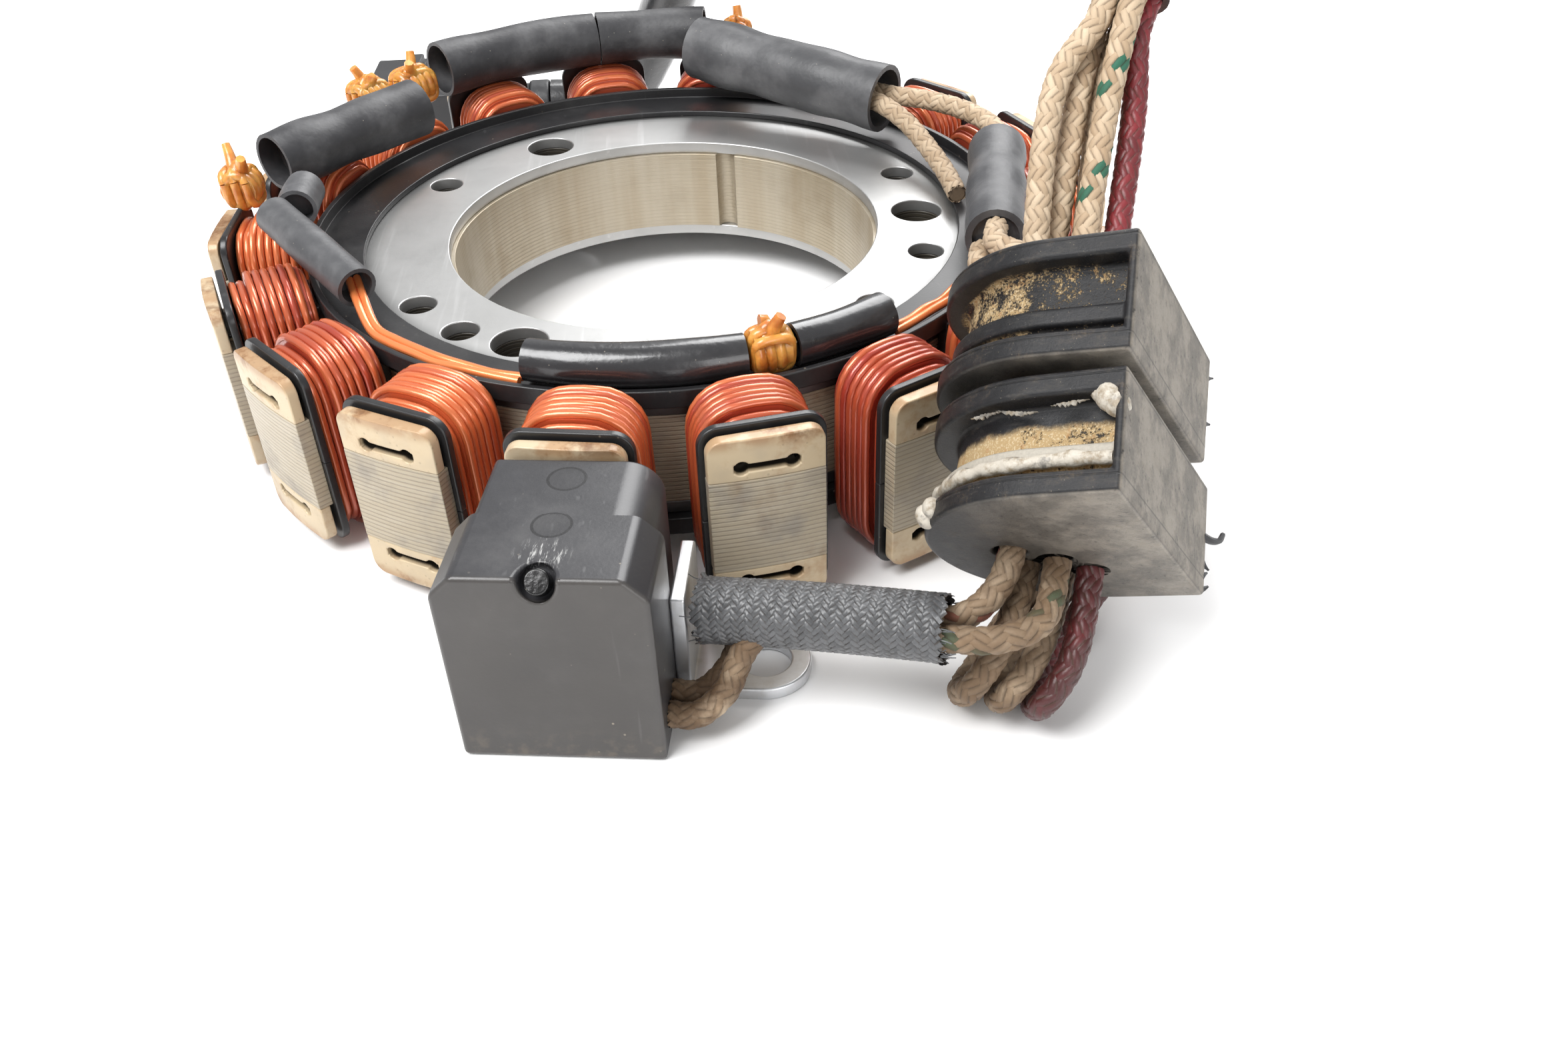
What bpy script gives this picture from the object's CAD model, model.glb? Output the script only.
"""Looks of a wound alternator stator with its pickup and lead harness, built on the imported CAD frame."""

import logging
import math
import random
from dataclasses import dataclass, field
from enum import Enum
from typing import Callable, Iterable, Sequence

import bmesh
import bpy
import numpy as np
from mathutils import Matrix, Vector


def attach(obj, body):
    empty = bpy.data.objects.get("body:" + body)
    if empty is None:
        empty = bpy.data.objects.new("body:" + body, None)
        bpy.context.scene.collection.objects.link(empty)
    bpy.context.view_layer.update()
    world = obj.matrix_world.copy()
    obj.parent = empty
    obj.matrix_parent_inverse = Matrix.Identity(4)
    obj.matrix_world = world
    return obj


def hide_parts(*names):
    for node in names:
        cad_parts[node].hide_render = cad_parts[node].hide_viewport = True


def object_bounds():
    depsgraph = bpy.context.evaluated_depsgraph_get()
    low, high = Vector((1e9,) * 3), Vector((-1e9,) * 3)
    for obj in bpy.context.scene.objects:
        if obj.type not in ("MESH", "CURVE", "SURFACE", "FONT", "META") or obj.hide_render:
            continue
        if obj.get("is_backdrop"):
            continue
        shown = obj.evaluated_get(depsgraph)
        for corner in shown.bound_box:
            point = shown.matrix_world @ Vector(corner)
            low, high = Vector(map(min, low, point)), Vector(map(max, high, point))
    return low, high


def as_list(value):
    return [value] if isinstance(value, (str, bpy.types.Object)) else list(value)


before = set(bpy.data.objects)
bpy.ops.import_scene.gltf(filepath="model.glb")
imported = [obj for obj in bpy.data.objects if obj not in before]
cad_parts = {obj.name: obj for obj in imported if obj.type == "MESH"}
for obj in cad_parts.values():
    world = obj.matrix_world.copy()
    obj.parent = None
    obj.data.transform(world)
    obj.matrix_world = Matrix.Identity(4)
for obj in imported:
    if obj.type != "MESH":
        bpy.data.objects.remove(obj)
CAD_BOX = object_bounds()

LOG = logging.getLogger("stator")
MM = 0.001
BODY = "root"
Colour = tuple[float, float, float]
Point = tuple[float, float, float]


# Sizes of the CAD source that the looks follow, in millimetres


@dataclass(frozen=True)
class Sizes:
    """Sizes shared by the pieces, as in the part's source."""

    stack_h: float = 11.4
    plate_t: float = 1.6
    ins_t: float = 0.8
    crown_t: float = 3.5
    crown_drop: float = 0.7
    side_t: float = 2.5
    neck_w: float = 6.4
    wire_d: float = 0.98
    turns: int = 9
    coil_root_r: float = 45.68
    corner_r: float = 5.2
    wall_r: float = 45.3
    poles: int = 18
    lead_d: float = 2.7
    sheath_d: float = 9.0
    braid_d: float = 6.6
    grommet_h: float = 11.4

    @property
    def ins_top(self) -> float:
        """Height of the insulator's top face."""
        return self.stack_h + self.plate_t + self.ins_t

    @property
    def coil_top(self) -> float:
        """Height of the coil crowns."""
        return self.ins_top + self.crown_t

    @property
    def rest_z(self) -> float:
        """Height of the surface that the stator stands on."""
        return self.stack_h - self.coil_top - self.crown_drop


SIZES = Sizes()


def polar(r: float, angle: float, z: float) -> Point:
    """Gives a place round the stator.

    Args:
        r: Distance from the bore axis.
        angle: Degrees from the front (-Y) towards +X.
        z: Height.

    Returns:
        The point in millimetres.
    """
    a = math.radians(angle)
    return (r * math.sin(a), -r * math.cos(a), z)


def turned(v: Sequence[float], degrees: Sequence[float]) -> np.ndarray:
    """Turns a vector about X, then Y, then Z.

    Args:
        v: The vector.
        degrees: The three angles.

    Returns:
        The turned vector.
    """
    rx, ry, rz = (math.radians(d) for d in degrees)
    m = Matrix.Rotation(rz, 3, "Z") @ Matrix.Rotation(ry, 3, "Y") @ Matrix.Rotation(rx, 3, "X")
    return np.array(m @ Vector(v))


# Shader maths


class Sock:
    """A shader socket that takes part in arithmetic."""

    def __init__(self, graph: "Graph", socket: bpy.types.NodeSocket) -> None:
        self.graph = graph
        self.socket = socket

    def __add__(self, other: "Value") -> "Sock":
        return self.graph.math("ADD", self, other)

    def __sub__(self, other: "Value") -> "Sock":
        return self.graph.math("SUBTRACT", self, other)

    def __mul__(self, other: "Value") -> "Sock":
        return self.graph.math("MULTIPLY", self, other)

    def __truediv__(self, other: "Value") -> "Sock":
        return self.graph.math("DIVIDE", self, other)

    def __radd__(self, other: "Value") -> "Sock":
        return self.graph.math("ADD", other, self)

    def __rsub__(self, other: "Value") -> "Sock":
        return self.graph.math("SUBTRACT", other, self)

    def __rmul__(self, other: "Value") -> "Sock":
        return self.graph.math("MULTIPLY", other, self)

    def __rtruediv__(self, other: "Value") -> "Sock":
        return self.graph.math("DIVIDE", other, self)

    def __pow__(self, other: "Value") -> "Sock":
        return self.graph.math("POWER", self, other)

    def __abs__(self) -> "Sock":
        return self.graph.math("ABSOLUTE", self)

    def fract(self) -> "Sock":
        """Returns the fractional part."""
        return self.graph.math("FRACT", self)

    def smooth(self, low: float, high: float) -> "Sock":
        """Rises smoothly from 0 at low to 1 at high; with high below low it falls.

        Args:
            low: Where the result is 0.
            high: Where the result is 1.

        Returns:
            The eased value.
        """
        node = self.graph.node("ShaderNodeMapRange", interpolation_type="SMOOTHSTEP")
        a, b, out_a, out_b = (low, high, 0.0, 1.0) if low < high else (high, low, 1.0, 0.0)
        for key, value in (("From Min", a), ("From Max", b), ("To Min", out_a), ("To Max", out_b)):
            node.inputs[key].default_value = value
        self.graph.link(self, node.inputs["Value"])
        return Sock(self.graph, node.outputs["Result"])

    def xyz(self) -> tuple["Sock", "Sock", "Sock"]:
        """Returns the three parts of a vector."""
        node = self.graph.node("ShaderNodeSeparateXYZ")
        self.graph.link(self, node.inputs[0])
        return tuple(Sock(self.graph, o) for o in node.outputs)


Value = Sock | float


class Graph:
    """Builds one material's nodes."""

    def __init__(self, name: str) -> None:
        self.material = bpy.data.materials.new(name)
        self.material.use_nodes = True
        self.tree = self.material.node_tree
        self.shader = self.tree.nodes["Principled BSDF"]

    def node(self, kind: str, **props: object) -> bpy.types.Node:
        """Adds a node.

        Args:
            kind: The node's type.
            props: Attributes to set on it.

        Returns:
            The node.
        """
        made = self.tree.nodes.new(kind)
        for key, value in props.items():
            setattr(made, key, value)
        return made

    def link(self, value: Value | Colour, socket: bpy.types.NodeSocket) -> None:
        """Feeds a socket with another socket or a constant.

        Args:
            value: What goes in.
            socket: The input.
        """
        if isinstance(value, Sock):
            self.tree.links.new(value.socket, socket)
        elif isinstance(value, tuple):
            socket.default_value = (*value, 1.0) if len(socket.default_value) == 4 else value
        else:
            socket.default_value = value

    def math(self, op: str, a: Value, b: Value = 0.0) -> Sock:
        """Adds a maths node.

        Args:
            op: The operation.
            a: The first operand.
            b: The second operand.

        Returns:
            The result.
        """
        made = self.node("ShaderNodeMath", operation=op)
        self.link(a, made.inputs[0])
        self.link(b, made.inputs[1])
        return Sock(self, made.outputs[0])

    def place(self) -> Sock:
        """Returns the Object coordinates, in metres."""
        return Sock(self, self.node("ShaderNodeTexCoord").outputs["Object"])

    def attribute(self, name: str, vector: bool = False) -> Sock:
        """Reads an attribute of the mesh.

        Args:
            name: The attribute.
            vector: Whether it is a vector.

        Returns:
            Its value.
        """
        made = self.node("ShaderNodeAttribute", attribute_name=name)
        return Sock(self, made.outputs["Vector" if vector else "Fac"])

    def stretched(self, vector: Sock, scale: Point) -> Sock:
        """Scales a vector by parts.

        Args:
            vector: The vector.
            scale: A factor for each part.

        Returns:
            The scaled vector.
        """
        made = self.node("ShaderNodeVectorMath", operation="MULTIPLY")
        self.link(vector, made.inputs[0])
        made.inputs[1].default_value = scale
        return Sock(self, made.outputs[0])

    def noise(self, vector: Sock, scale: float, detail: float = 3.0, rough: float = 0.55) -> Sock:
        """Adds noise.

        Args:
            vector: Where it is read.
            scale: Features per metre, or per unit of the vector.
            detail: Octaves.
            rough: Weight of the finer octaves.

        Returns:
            The noise, about 0.5.
        """
        made = self.node("ShaderNodeTexNoise")
        self.link(vector, made.inputs["Vector"])
        for key, value in (("Scale", scale), ("Detail", detail), ("Roughness", rough)):
            made.inputs[key].default_value = value
        return Sock(self, made.outputs["Fac"])

    def cells(self, vector: Sock, scale: float) -> Sock:
        """Adds the distance to the nearest of scattered points.

        Args:
            vector: Where it is read.
            scale: Points per unit length.

        Returns:
            The distance.
        """
        made = self.node("ShaderNodeTexVoronoi")
        self.link(vector, made.inputs["Vector"])
        made.inputs["Scale"].default_value = scale
        return Sock(self, made.outputs["Distance"])

    def mix(self, factor: Value, a: Sock | Colour, b: Sock | Colour) -> Sock:
        """Mixes two colours.

        Args:
            factor: 0 for the first, 1 for the second.
            a: The first colour.
            b: The second colour.

        Returns:
            The mixed colour.
        """
        made = self.node("ShaderNodeMix", data_type="RGBA", clamp_factor=True)
        self.link(factor, made.inputs[0])
        self.link(a, made.inputs[6])
        self.link(b, made.inputs[7])
        return Sock(self, made.outputs[2])

    def bump(self, height: Value, depth_mm: float, strength: float = 1.0) -> Sock:
        """Turns a height into a normal.

        Args:
            height: The height, 0 to 1.
            depth_mm: Millimetres that a height of 1 stands for.
            strength: Strength of the effect.

        Returns:
            The normal.
        """
        made = self.node("ShaderNodeBump")
        made.inputs["Strength"].default_value = strength
        made.inputs["Distance"].default_value = depth_mm * MM
        self.link(height, made.inputs["Height"])
        return Sock(self, made.outputs["Normal"])

    def surface(self, **sockets: Sock | Colour | float) -> bpy.types.Material:
        """Feeds the shader.

        Args:
            sockets: Input names in lower case with underscores, and what feeds them.

        Returns:
            The finished material.
        """
        for key, value in sockets.items():
            self.link(value, self.shader.inputs[SHADER_INPUTS[key]])
        return self.material


SHADER_INPUTS = {
    "base": "Base Color",
    "metallic": "Metallic",
    "rough": "Roughness",
    "coat": "Coat Weight",
    "coat_rough": "Coat Roughness",
    "specular": "Specular IOR Level",
    "sheen": "Sheen Weight",
    "subsurface": "Subsurface Weight",
    "subsurface_scale": "Subsurface Scale",
    "normal": "Normal",
    "alpha": "Alpha",
}


# Finishes


@dataclass(frozen=True)
class Finish:
    """A finish that makes one material."""

    name: str

    def paint(self, g: Graph) -> bpy.types.Material:
        """Fills the graph.

        Args:
            g: The material's graph.

        Returns:
            The material.
        """
        raise NotImplementedError

    def material(self) -> bpy.types.Material:
        """Returns the material, made once."""
        return bpy.data.materials.get(self.name) or self.paint(Graph(self.name))


@dataclass(frozen=True)
class VarnishedStack(Finish):
    """Lamination edges under a cream varnish, with brown stains."""

    sheet_mm: float = 0.56
    varnish: Colour = (0.37, 0.31, 0.22)
    steel: Colour = (0.26, 0.235, 0.20)
    stain: Colour = (0.16, 0.085, 0.035)
    bore: Colour = (0.40, 0.335, 0.24)

    def paint(self, g: Graph) -> bpy.types.Material:
        p = g.place()
        x, y, z = p.xyz()
        radius = g.math("SQRT", x * x + y * y)
        wander = g.noise(g.stretched(p, (1, 1, 0.1)), 60.0)
        row = (z / (self.sheet_mm * MM) + wander * 0.5).fract()
        gap = abs(row - 0.5).smooth(0.30, 0.46)
        sheets = g.noise(g.stretched(p, (0.12, 0.12, 1.0)), 1500.0, 2.0)
        bare = g.noise(p, 170.0, 4.0).smooth(0.48, 0.70)
        base = g.mix(bare * 0.75, self.varnish, self.steel)
        base = g.mix(sheets.smooth(0.35, 0.8) * 0.30, base, (0.48, 0.43, 0.345))
        stains = g.noise(p, 95.0, 5.0, 0.65).smooth(0.56, 0.72)
        edge = abs(z / MM - 5.7).smooth(3.6, 5.7)
        base = g.mix(stains * (0.35 + edge * 0.4), base, self.stain)
        bloom = g.noise(p, 38.0, 2.0).smooth(0.66, 0.74)
        base = g.mix(bloom * 0.16, base, (0.16, 0.30, 0.20))
        base = g.mix(gap * 0.42, base, (0.13, 0.10, 0.07))
        base = g.mix(radius.smooth(0.0425, 0.0420) * 0.9, base, (0.012, 0.011, 0.010))
        inside = radius.smooth(0.0298, 0.0291)
        streaks = g.noise(g.stretched(p, (1.0, 1.0, 0.06)), 240.0, 3.0)
        walls = g.mix(streaks.smooth(0.3, 0.75) * 0.5, self.bore, (0.56, 0.52, 0.44))
        base = g.mix(inside, base, walls)
        height = (1.0 - gap) + g.noise(p, 900.0, 3.0) * 0.5
        return g.surface(
            base=base, rough=0.38 + bare * 0.16, metallic=inside * 0.55 + bare * 0.25, coat=0.15,
            normal=g.bump(height, 0.05, 0.7),
        )


@dataclass(frozen=True)
class PlateSteel(Finish):
    """Bright sheet on the hub, with varnish and brown stains on the tabs."""

    bright: Colour = (0.50, 0.50, 0.495)
    dull: Colour = (0.33, 0.33, 0.325)
    varnish: Colour = (0.54, 0.43, 0.28)
    stain: Colour = (0.29, 0.125, 0.032)

    def paint(self, g: Graph) -> bpy.types.Material:
        p = g.place()
        x, y, z = p.xyz()
        radius = g.math("SQRT", x * x + y * y)
        tab = radius.smooth(0.050, 0.054)
        cloud = g.noise(p, 75.0, 4.0)
        fine = g.noise(p, 700.0, 3.0)
        marks = g.noise(g.stretched(p, (1.0, 0.05, 1.0)), 900.0, 2.0).smooth(0.60, 0.78)
        hub = g.mix(cloud.smooth(0.42, 0.70) * 0.55, self.bright, self.dull)
        hub = g.mix(marks * 0.2, hub, (0.85, 0.85, 0.85))
        dusk = radius.smooth(0.036, 0.0395)
        hub = g.mix(dusk * 0.75, hub, (0.05, 0.05, 0.05))
        brown = g.noise(p, 150.0, 5.0, 0.7).smooth(0.50, 0.68)
        rim = abs(z / MM - 5.7).smooth(8.9, 10.5)
        film = g.mix(g.noise(p, 260.0, 3.0).smooth(0.4, 0.7) * 0.5, self.varnish, (0.42, 0.345, 0.245))
        ring = g.noise(p, 210.0, 4.0, 0.6).smooth(0.32, 0.52)
        film = g.mix(brown * 0.4 + rim * ring * 0.6, film, self.stain)
        film = g.mix(rim * brown * 0.6, film, (0.10, 0.045, 0.018))
        specks = g.cells(p, 900.0).smooth(0.16, 0.08)
        film = g.mix(specks * 0.25, film, (0.12, 0.08, 0.05))
        poles = SIZES.poles
        pole = g.math("FRACT", g.math("ARCTAN2", x, y * -1.0) * (poles / math.tau) + float(poles))
        aside = abs(pole - 0.5) * 20.0
        level = abs(z / MM - SIZES.stack_h / 2)
        slot = aside.smooth(4.8, 4.5) * level.smooth(6.1, 6.25) * level.smooth(8.6, 8.4)
        slot = slot * radius.smooth(0.0571, 0.0567)
        film = g.mix(slot * 0.95, film, (0.006, 0.006, 0.006))
        height = fine * 0.6 + brown * 0.3
        return g.surface(
            base=g.mix(tab, hub, film), metallic=0.85 - tab * 0.7,
            rough=0.34 + cloud * 0.16 + tab * 0.06, coat=tab * 0.25,
            normal=g.bump(height, 0.04, 0.6),
        )


@dataclass(frozen=True)
class Plastic(Finish):
    """A dark moulding, with dust and scuffs."""

    tone: Colour = (0.016, 0.016, 0.018)
    rough: float = 0.5
    dust: float = 0.0
    grain_mm: float = 0.02

    def paint(self, g: Graph) -> bpy.types.Material:
        p = g.place()
        fine = g.noise(p, 2600.0, 2.0)
        cloud = g.noise(p, 120.0, 4.0)
        base = g.mix(cloud.smooth(0.3, 0.8) * 0.5, self.tone, tuple(c * 1.7 + 0.004 for c in self.tone))
        specks = g.cells(p, 520.0).smooth(0.085, 0.04) * g.noise(p, 210.0).smooth(0.45, 0.62)
        base = g.mix(specks * self.dust, base, (0.42, 0.36, 0.28))
        film = g.noise(p, 60.0, 5.0, 0.7).smooth(0.45, 0.8) * self.dust
        base = g.mix(film * 0.10, base, (0.35, 0.33, 0.30))
        scratch = g.noise(g.stretched(p, (1.0, 0.3, 0.06)), 1400.0, 1.0).smooth(0.70, 0.80)
        base = g.mix(scratch * self.dust * 0.10, base, (0.45, 0.45, 0.45))
        return g.surface(
            base=base, rough=self.rough + cloud * 0.14 - 0.07 + film * 0.1,
            normal=g.bump(fine, self.grain_mm, 0.5),
        )


@dataclass(frozen=True)
class PickupPlastic(Plastic):
    """The pickup's moulding: matt, dusty, with white scuffs round the recess."""

    recess: Point = (0.0, 0.0, 22.3)
    rings: tuple[float, float] = (7.93, 15.2)

    def paint(self, g: Graph) -> bpy.types.Material:
        made = Plastic.paint(self, g)
        local = g.attribute("local_mm", vector=True)
        x, y, z = local.xyz()
        cx, cy, cz = self.recess
        near = (x - cx) * (x - cx) + (y - cy - 3.6) * (y - cy - 3.6) + (z - cz) * (z - cz) * 3.0
        zone = near.smooth(9.0, 0.5)
        rub = g.noise(g.stretched(local, (1.0, 0.16, 0.4)), 2.6, 4.0, 0.75).smooth(0.52, 0.66)
        old = self.link_source(g, "Base Color")
        dirt = z.smooth(5.0, 0.0) * g.noise(local, 0.7, 4.0).smooth(0.45, 0.7)
        front = y.smooth(0.7, 0.1) * (0.30 + g.noise(local, 0.12, 3.0) * 0.3)
        base = g.mix(front, old, (0.078, 0.068, 0.058))
        base = g.mix(zone * rub * 0.55, base, (0.62, 0.62, 0.60))
        for back in self.rings:
            reach = g.math("SQRT", x * x + (y - back) * (y - back))
            disc = reach.smooth(2.0, 1.9) * z.smooth(21.6, 21.9)
            base = g.mix(disc * (0.3 + reach.smooth(1.62, 1.72) * 0.65), base, (0.004, 0.004, 0.005))
        base = g.mix(dirt * 0.22, base, (0.24, 0.19, 0.13))
        g.link(base, g.shader.inputs["Base Color"])
        return made

    @staticmethod
    def link_source(g: Graph, name: str) -> Sock:
        """Returns what feeds one of the shader's inputs.

        Args:
            g: The graph.
            name: The input.

        Returns:
            The socket that feeds it.
        """
        return Sock(g, g.shader.inputs[name].links[0].from_socket)


@dataclass(frozen=True)
class Enamel(Finish):
    """Glossy enamelled copper wire, from orange to red."""

    orange: Colour = (0.66, 0.165, 0.055)
    red: Colour = (0.36, 0.045, 0.026)

    def paint(self, g: Graph) -> bpy.types.Material:
        p = g.place()
        x, y, z = p.xyz()
        tone = g.attribute("coil_tone") * 0.5 + g.attribute("turn_tone") * 0.35
        tone = tone + g.noise(p, 70.0, 3.0) * 0.5 - 0.22
        base = g.mix(tone.smooth(0.15, 0.85), self.orange, self.red)
        low = (z / MM).smooth(2.0, -6.0)
        base = g.mix(low * 0.25, base, (0.10, 0.03, 0.02))
        soil = g.noise(p, 420.0, 4.0, 0.65).smooth(0.60, 0.78)
        base = g.mix(soil * 0.25, base, (0.16, 0.07, 0.04))
        return g.surface(
            base=base, metallic=0.35, rough=0.30 + soil * 0.25, coat=0.6, coat_rough=0.14,
            normal=g.bump(g.noise(p, 1600.0, 2.0), 0.02, 0.4),
        )


@dataclass(frozen=True)
class Sleeving(Finish):
    """Black insulating sleeve, dusty grey where it catches the light."""

    tone: Colour = (0.018, 0.018, 0.02)
    bloom: float = 0.25
    rough: float = 0.46
    coat: float = 0.0

    def paint(self, g: Graph) -> bpy.types.Material:
        p = g.place()
        cloud = g.noise(p, 130.0, 5.0, 0.6)
        wrinkle = g.noise(p, 330.0, 3.0)
        bloom = cloud.smooth(0.40, 0.75) * self.bloom
        base = g.mix(bloom, self.tone, (0.20, 0.20, 0.205))
        specks = g.cells(p, 700.0).smooth(0.07, 0.03)
        base = g.mix(specks * 0.4, base, (0.42, 0.38, 0.31))
        return g.surface(
            base=base, rough=self.rough + cloud * 0.2 - 0.1, coat=self.coat, coat_rough=0.12,
            normal=g.bump(wrinkle + g.noise(p, 1500.0) * 0.25, 0.22, 0.55),
        )


@dataclass(frozen=True)
class VarnishedCord(Finish):
    """Amber lacing cord soaked in varnish."""

    pale: Colour = (0.72, 0.33, 0.065)
    deep: Colour = (0.44, 0.13, 0.016)

    def paint(self, g: Graph) -> bpy.types.Material:
        p = g.place()
        base = g.mix(g.noise(p, 420.0, 3.0).smooth(0.35, 0.7), self.pale, self.deep)
        return g.surface(
            base=base, rough=0.36, coat=0.5, coat_rough=0.15, subsurface=0.25,
            subsurface_scale=0.0015, normal=g.bump(g.noise(p, 1200.0, 3.0), 0.12, 0.6),
        )


@dataclass(frozen=True)
class Yarn(Finish):
    """Braided yarn, with a coloured tracer and soil."""

    pale: Colour = (0.60, 0.475, 0.335)
    deep: Colour = (0.34, 0.23, 0.135)
    tracer: Colour = (0.018, 0.115, 0.068)
    soil: Colour = (0.095, 0.052, 0.023)
    rough: float = 0.72
    coat: float = 0.0
    grounded: float = 0.82

    def paint(self, g: Graph) -> bpy.types.Material:
        p = g.place()
        tone = g.attribute("yarn_tone")
        base = g.mix(tone * 0.7 + g.noise(p, 300.0, 3.0) * 0.5 - 0.15, self.pale, self.deep)
        base = g.mix(g.attribute("tracer"), base, self.tracer)
        grime = g.attribute("soil") * g.noise(p, 330.0, 4.0, 0.65).smooth(0.30, 0.66)
        base = g.mix(grime, base, self.soil)
        x, y, z = p.xyz()
        low = (z / MM).smooth(24.0, 2.0) * g.noise(p, 210.0, 4.0, 0.6).smooth(0.10, 0.56)
        base = g.mix(low * self.grounded, base, self.soil)
        edge = g.attribute("yarn_edge")
        base = g.mix(edge * 0.7, base, (0.05, 0.032, 0.018))
        fibre = g.noise(p, 3800.0, 2.0)
        return g.surface(
            base=base, rough=self.rough, coat=self.coat, coat_rough=0.2, sheen=0.04,
            normal=g.bump(fibre, 0.05, 0.6),
        )


@dataclass(frozen=True)
class Zinc(Finish):
    """Zinc plating, a little cloudy."""

    tone: Colour = (0.66, 0.67, 0.69)

    def paint(self, g: Graph) -> bpy.types.Material:
        p = g.place()
        cloud = g.noise(p, 210.0, 5.0, 0.65)
        base = g.mix(cloud.smooth(0.45, 0.75) * 0.6, self.tone, (0.44, 0.42, 0.38))
        return g.surface(
            base=base, metallic=0.85, rough=0.26 + cloud * 0.25,
            normal=g.bump(g.noise(p, 900.0, 3.0), 0.03, 0.5),
        )


@dataclass(frozen=True)
class Rubber(Finish):
    """Worn rubber, with sandy dirt in its grooves and a dusty flat face."""

    tone: Colour = (0.009, 0.009, 0.010)
    sand: Colour = (0.47, 0.33, 0.165)
    dust: Colour = (0.27, 0.24, 0.20)
    sand_level: float = 0.62
    sand_top: float = 12.0
    rib_white: float = 0.0
    flat_x: float = 8.2
    height: float = 11.4
    parting: tuple[float, float] = (1.6, 10.8)

    def paint(self, g: Graph) -> bpy.types.Material:
        p = g.place()
        local = g.attribute("local_mm", vector=True)
        x, y, z = local.xyz()
        inset = g.attribute("inset")
        coarse = g.noise(local, 0.42, 5.0, 0.7)
        fine = g.noise(local, 4.0, 5.0, 0.75)
        deep = inset.smooth(1.3, 2.0) * (z + coarse * 1.6).smooth(self.sand_top + 0.9, self.sand_top)
        cover = coarse * 0.7 + fine * 0.6 + self.sand_level * 0.5 - 0.34 + x.smooth(6.0, -9.0) * 0.10
        sand = deep * cover.smooth(0.50, 0.60)
        crumbs = deep * g.cells(local, 3.4).smooth(0.20, 0.10) * cover.smooth(0.36, 0.50)
        sand = g.math("MAXIMUM", sand, crumbs)
        smear = g.noise(g.stretched(local, (0.6, 0.6, 2.2)), 0.9, 4.0, 0.7).smooth(0.50, 0.74)
        flat = x.smooth(self.flat_x - 0.25, self.flat_x - 0.02)
        base = g.mix(coarse.smooth(0.3, 0.8) * 0.5, self.tone, (0.022, 0.022, 0.025))
        base = g.mix(smear * 0.10, base, self.dust)
        low, high = self.parting
        ends = g.math("MAXIMUM", flat, z.smooth(0.25, 0.05) * x.smooth(-13.0, 8.0))
        worn = g.noise(local, 0.22, 5.0, 0.7).smooth(0.38, 0.64)
        pits = g.noise(local, 1.5, 5.0, 0.75).smooth(0.56, 0.66)
        base = g.mix(ends * (0.30 + fine * 0.30 + worn * 0.45 - pits * 0.35), base, self.dust)
        rimmed = flat * g.math("MAXIMUM", abs(z - low).smooth(0.12, 0.05), abs(z - high).smooth(0.12, 0.05))
        base = g.mix(rimmed * 0.5, base, (0.03, 0.028, 0.025))
        lip = inset.smooth(0.5, 0.2) * (1.0 - flat)
        line = g.math("MAXIMUM", abs(z - low).smooth(0.11, 0.04), abs(z - high).smooth(0.11, 0.04)) * lip
        base = g.mix(line * 0.7, base, (0.004, 0.004, 0.004))
        brown = lip * coarse.smooth(0.50, 0.72) * fine.smooth(0.40, 0.62)
        base = g.mix(brown * 0.35, base, (0.17, 0.12, 0.07))
        grit = g.cells(local, 2.1).smooth(0.10, 0.05)
        base = g.mix(grit * 0.35, base, (0.45, 0.38, 0.27))
        base = g.mix(sand * 0.9, base, self.sand)
        base = g.mix(sand * g.noise(local, 5.5, 3.0).smooth(0.52, 0.64) * 0.6, base, (0.68, 0.58, 0.40))
        base = g.mix(sand * g.noise(local, 1.1, 3.0).smooth(0.55, 0.68) * 0.5, base, (0.36, 0.17, 0.06))
        rib = z.smooth(3.0, 3.3) * z.smooth(5.2, 4.8) * inset.smooth(0.3, 0.7) * inset.smooth(1.9, 1.3)
        base = g.mix(rib * (0.55 + fine * 0.6) * self.rib_white, base, (0.50, 0.46, 0.39))
        height = fine * 0.5 + sand * g.noise(local, 9.0, 3.0) * 1.2 - line
        return g.surface(
            base=base, rough=0.40 + smear * 0.14 + flat * 0.2 + sand * 0.3, specular=0.34,
            normal=g.bump(height, 0.16, 0.6),
        )


@dataclass(frozen=True)
class Sealant(Finish):
    """Off-white sealant, soiled."""

    tone: Colour = (0.47, 0.43, 0.365)

    def paint(self, g: Graph) -> bpy.types.Material:
        p = g.place()
        soil = g.noise(p, 800.0, 5.0, 0.7).smooth(0.46, 0.66)
        base = g.mix(soil * 0.75, self.tone, (0.22, 0.165, 0.10))
        grey = g.noise(p, 420.0, 4.0, 0.65).smooth(0.52, 0.64)
        base = g.mix(grey * 0.7, base, (0.095, 0.09, 0.083))
        return g.surface(base=base, rough=0.5, normal=g.bump(g.noise(p, 700.0, 4.0), 0.35, 0.8))


@dataclass(frozen=True)
class Floor(Finish):
    """The plain pale floor, which fades into the background far from the object."""

    tone: Colour = (0.88, 0.88, 0.88)

    def paint(self, g: Graph) -> bpy.types.Material:
        x, y, z = g.place().xyz()
        near = g.math("SQRT", x * x + y * y).smooth(0.75, 0.35)
        return g.surface(base=self.tone, rough=0.9, specular=0.1, alpha=near)


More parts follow.
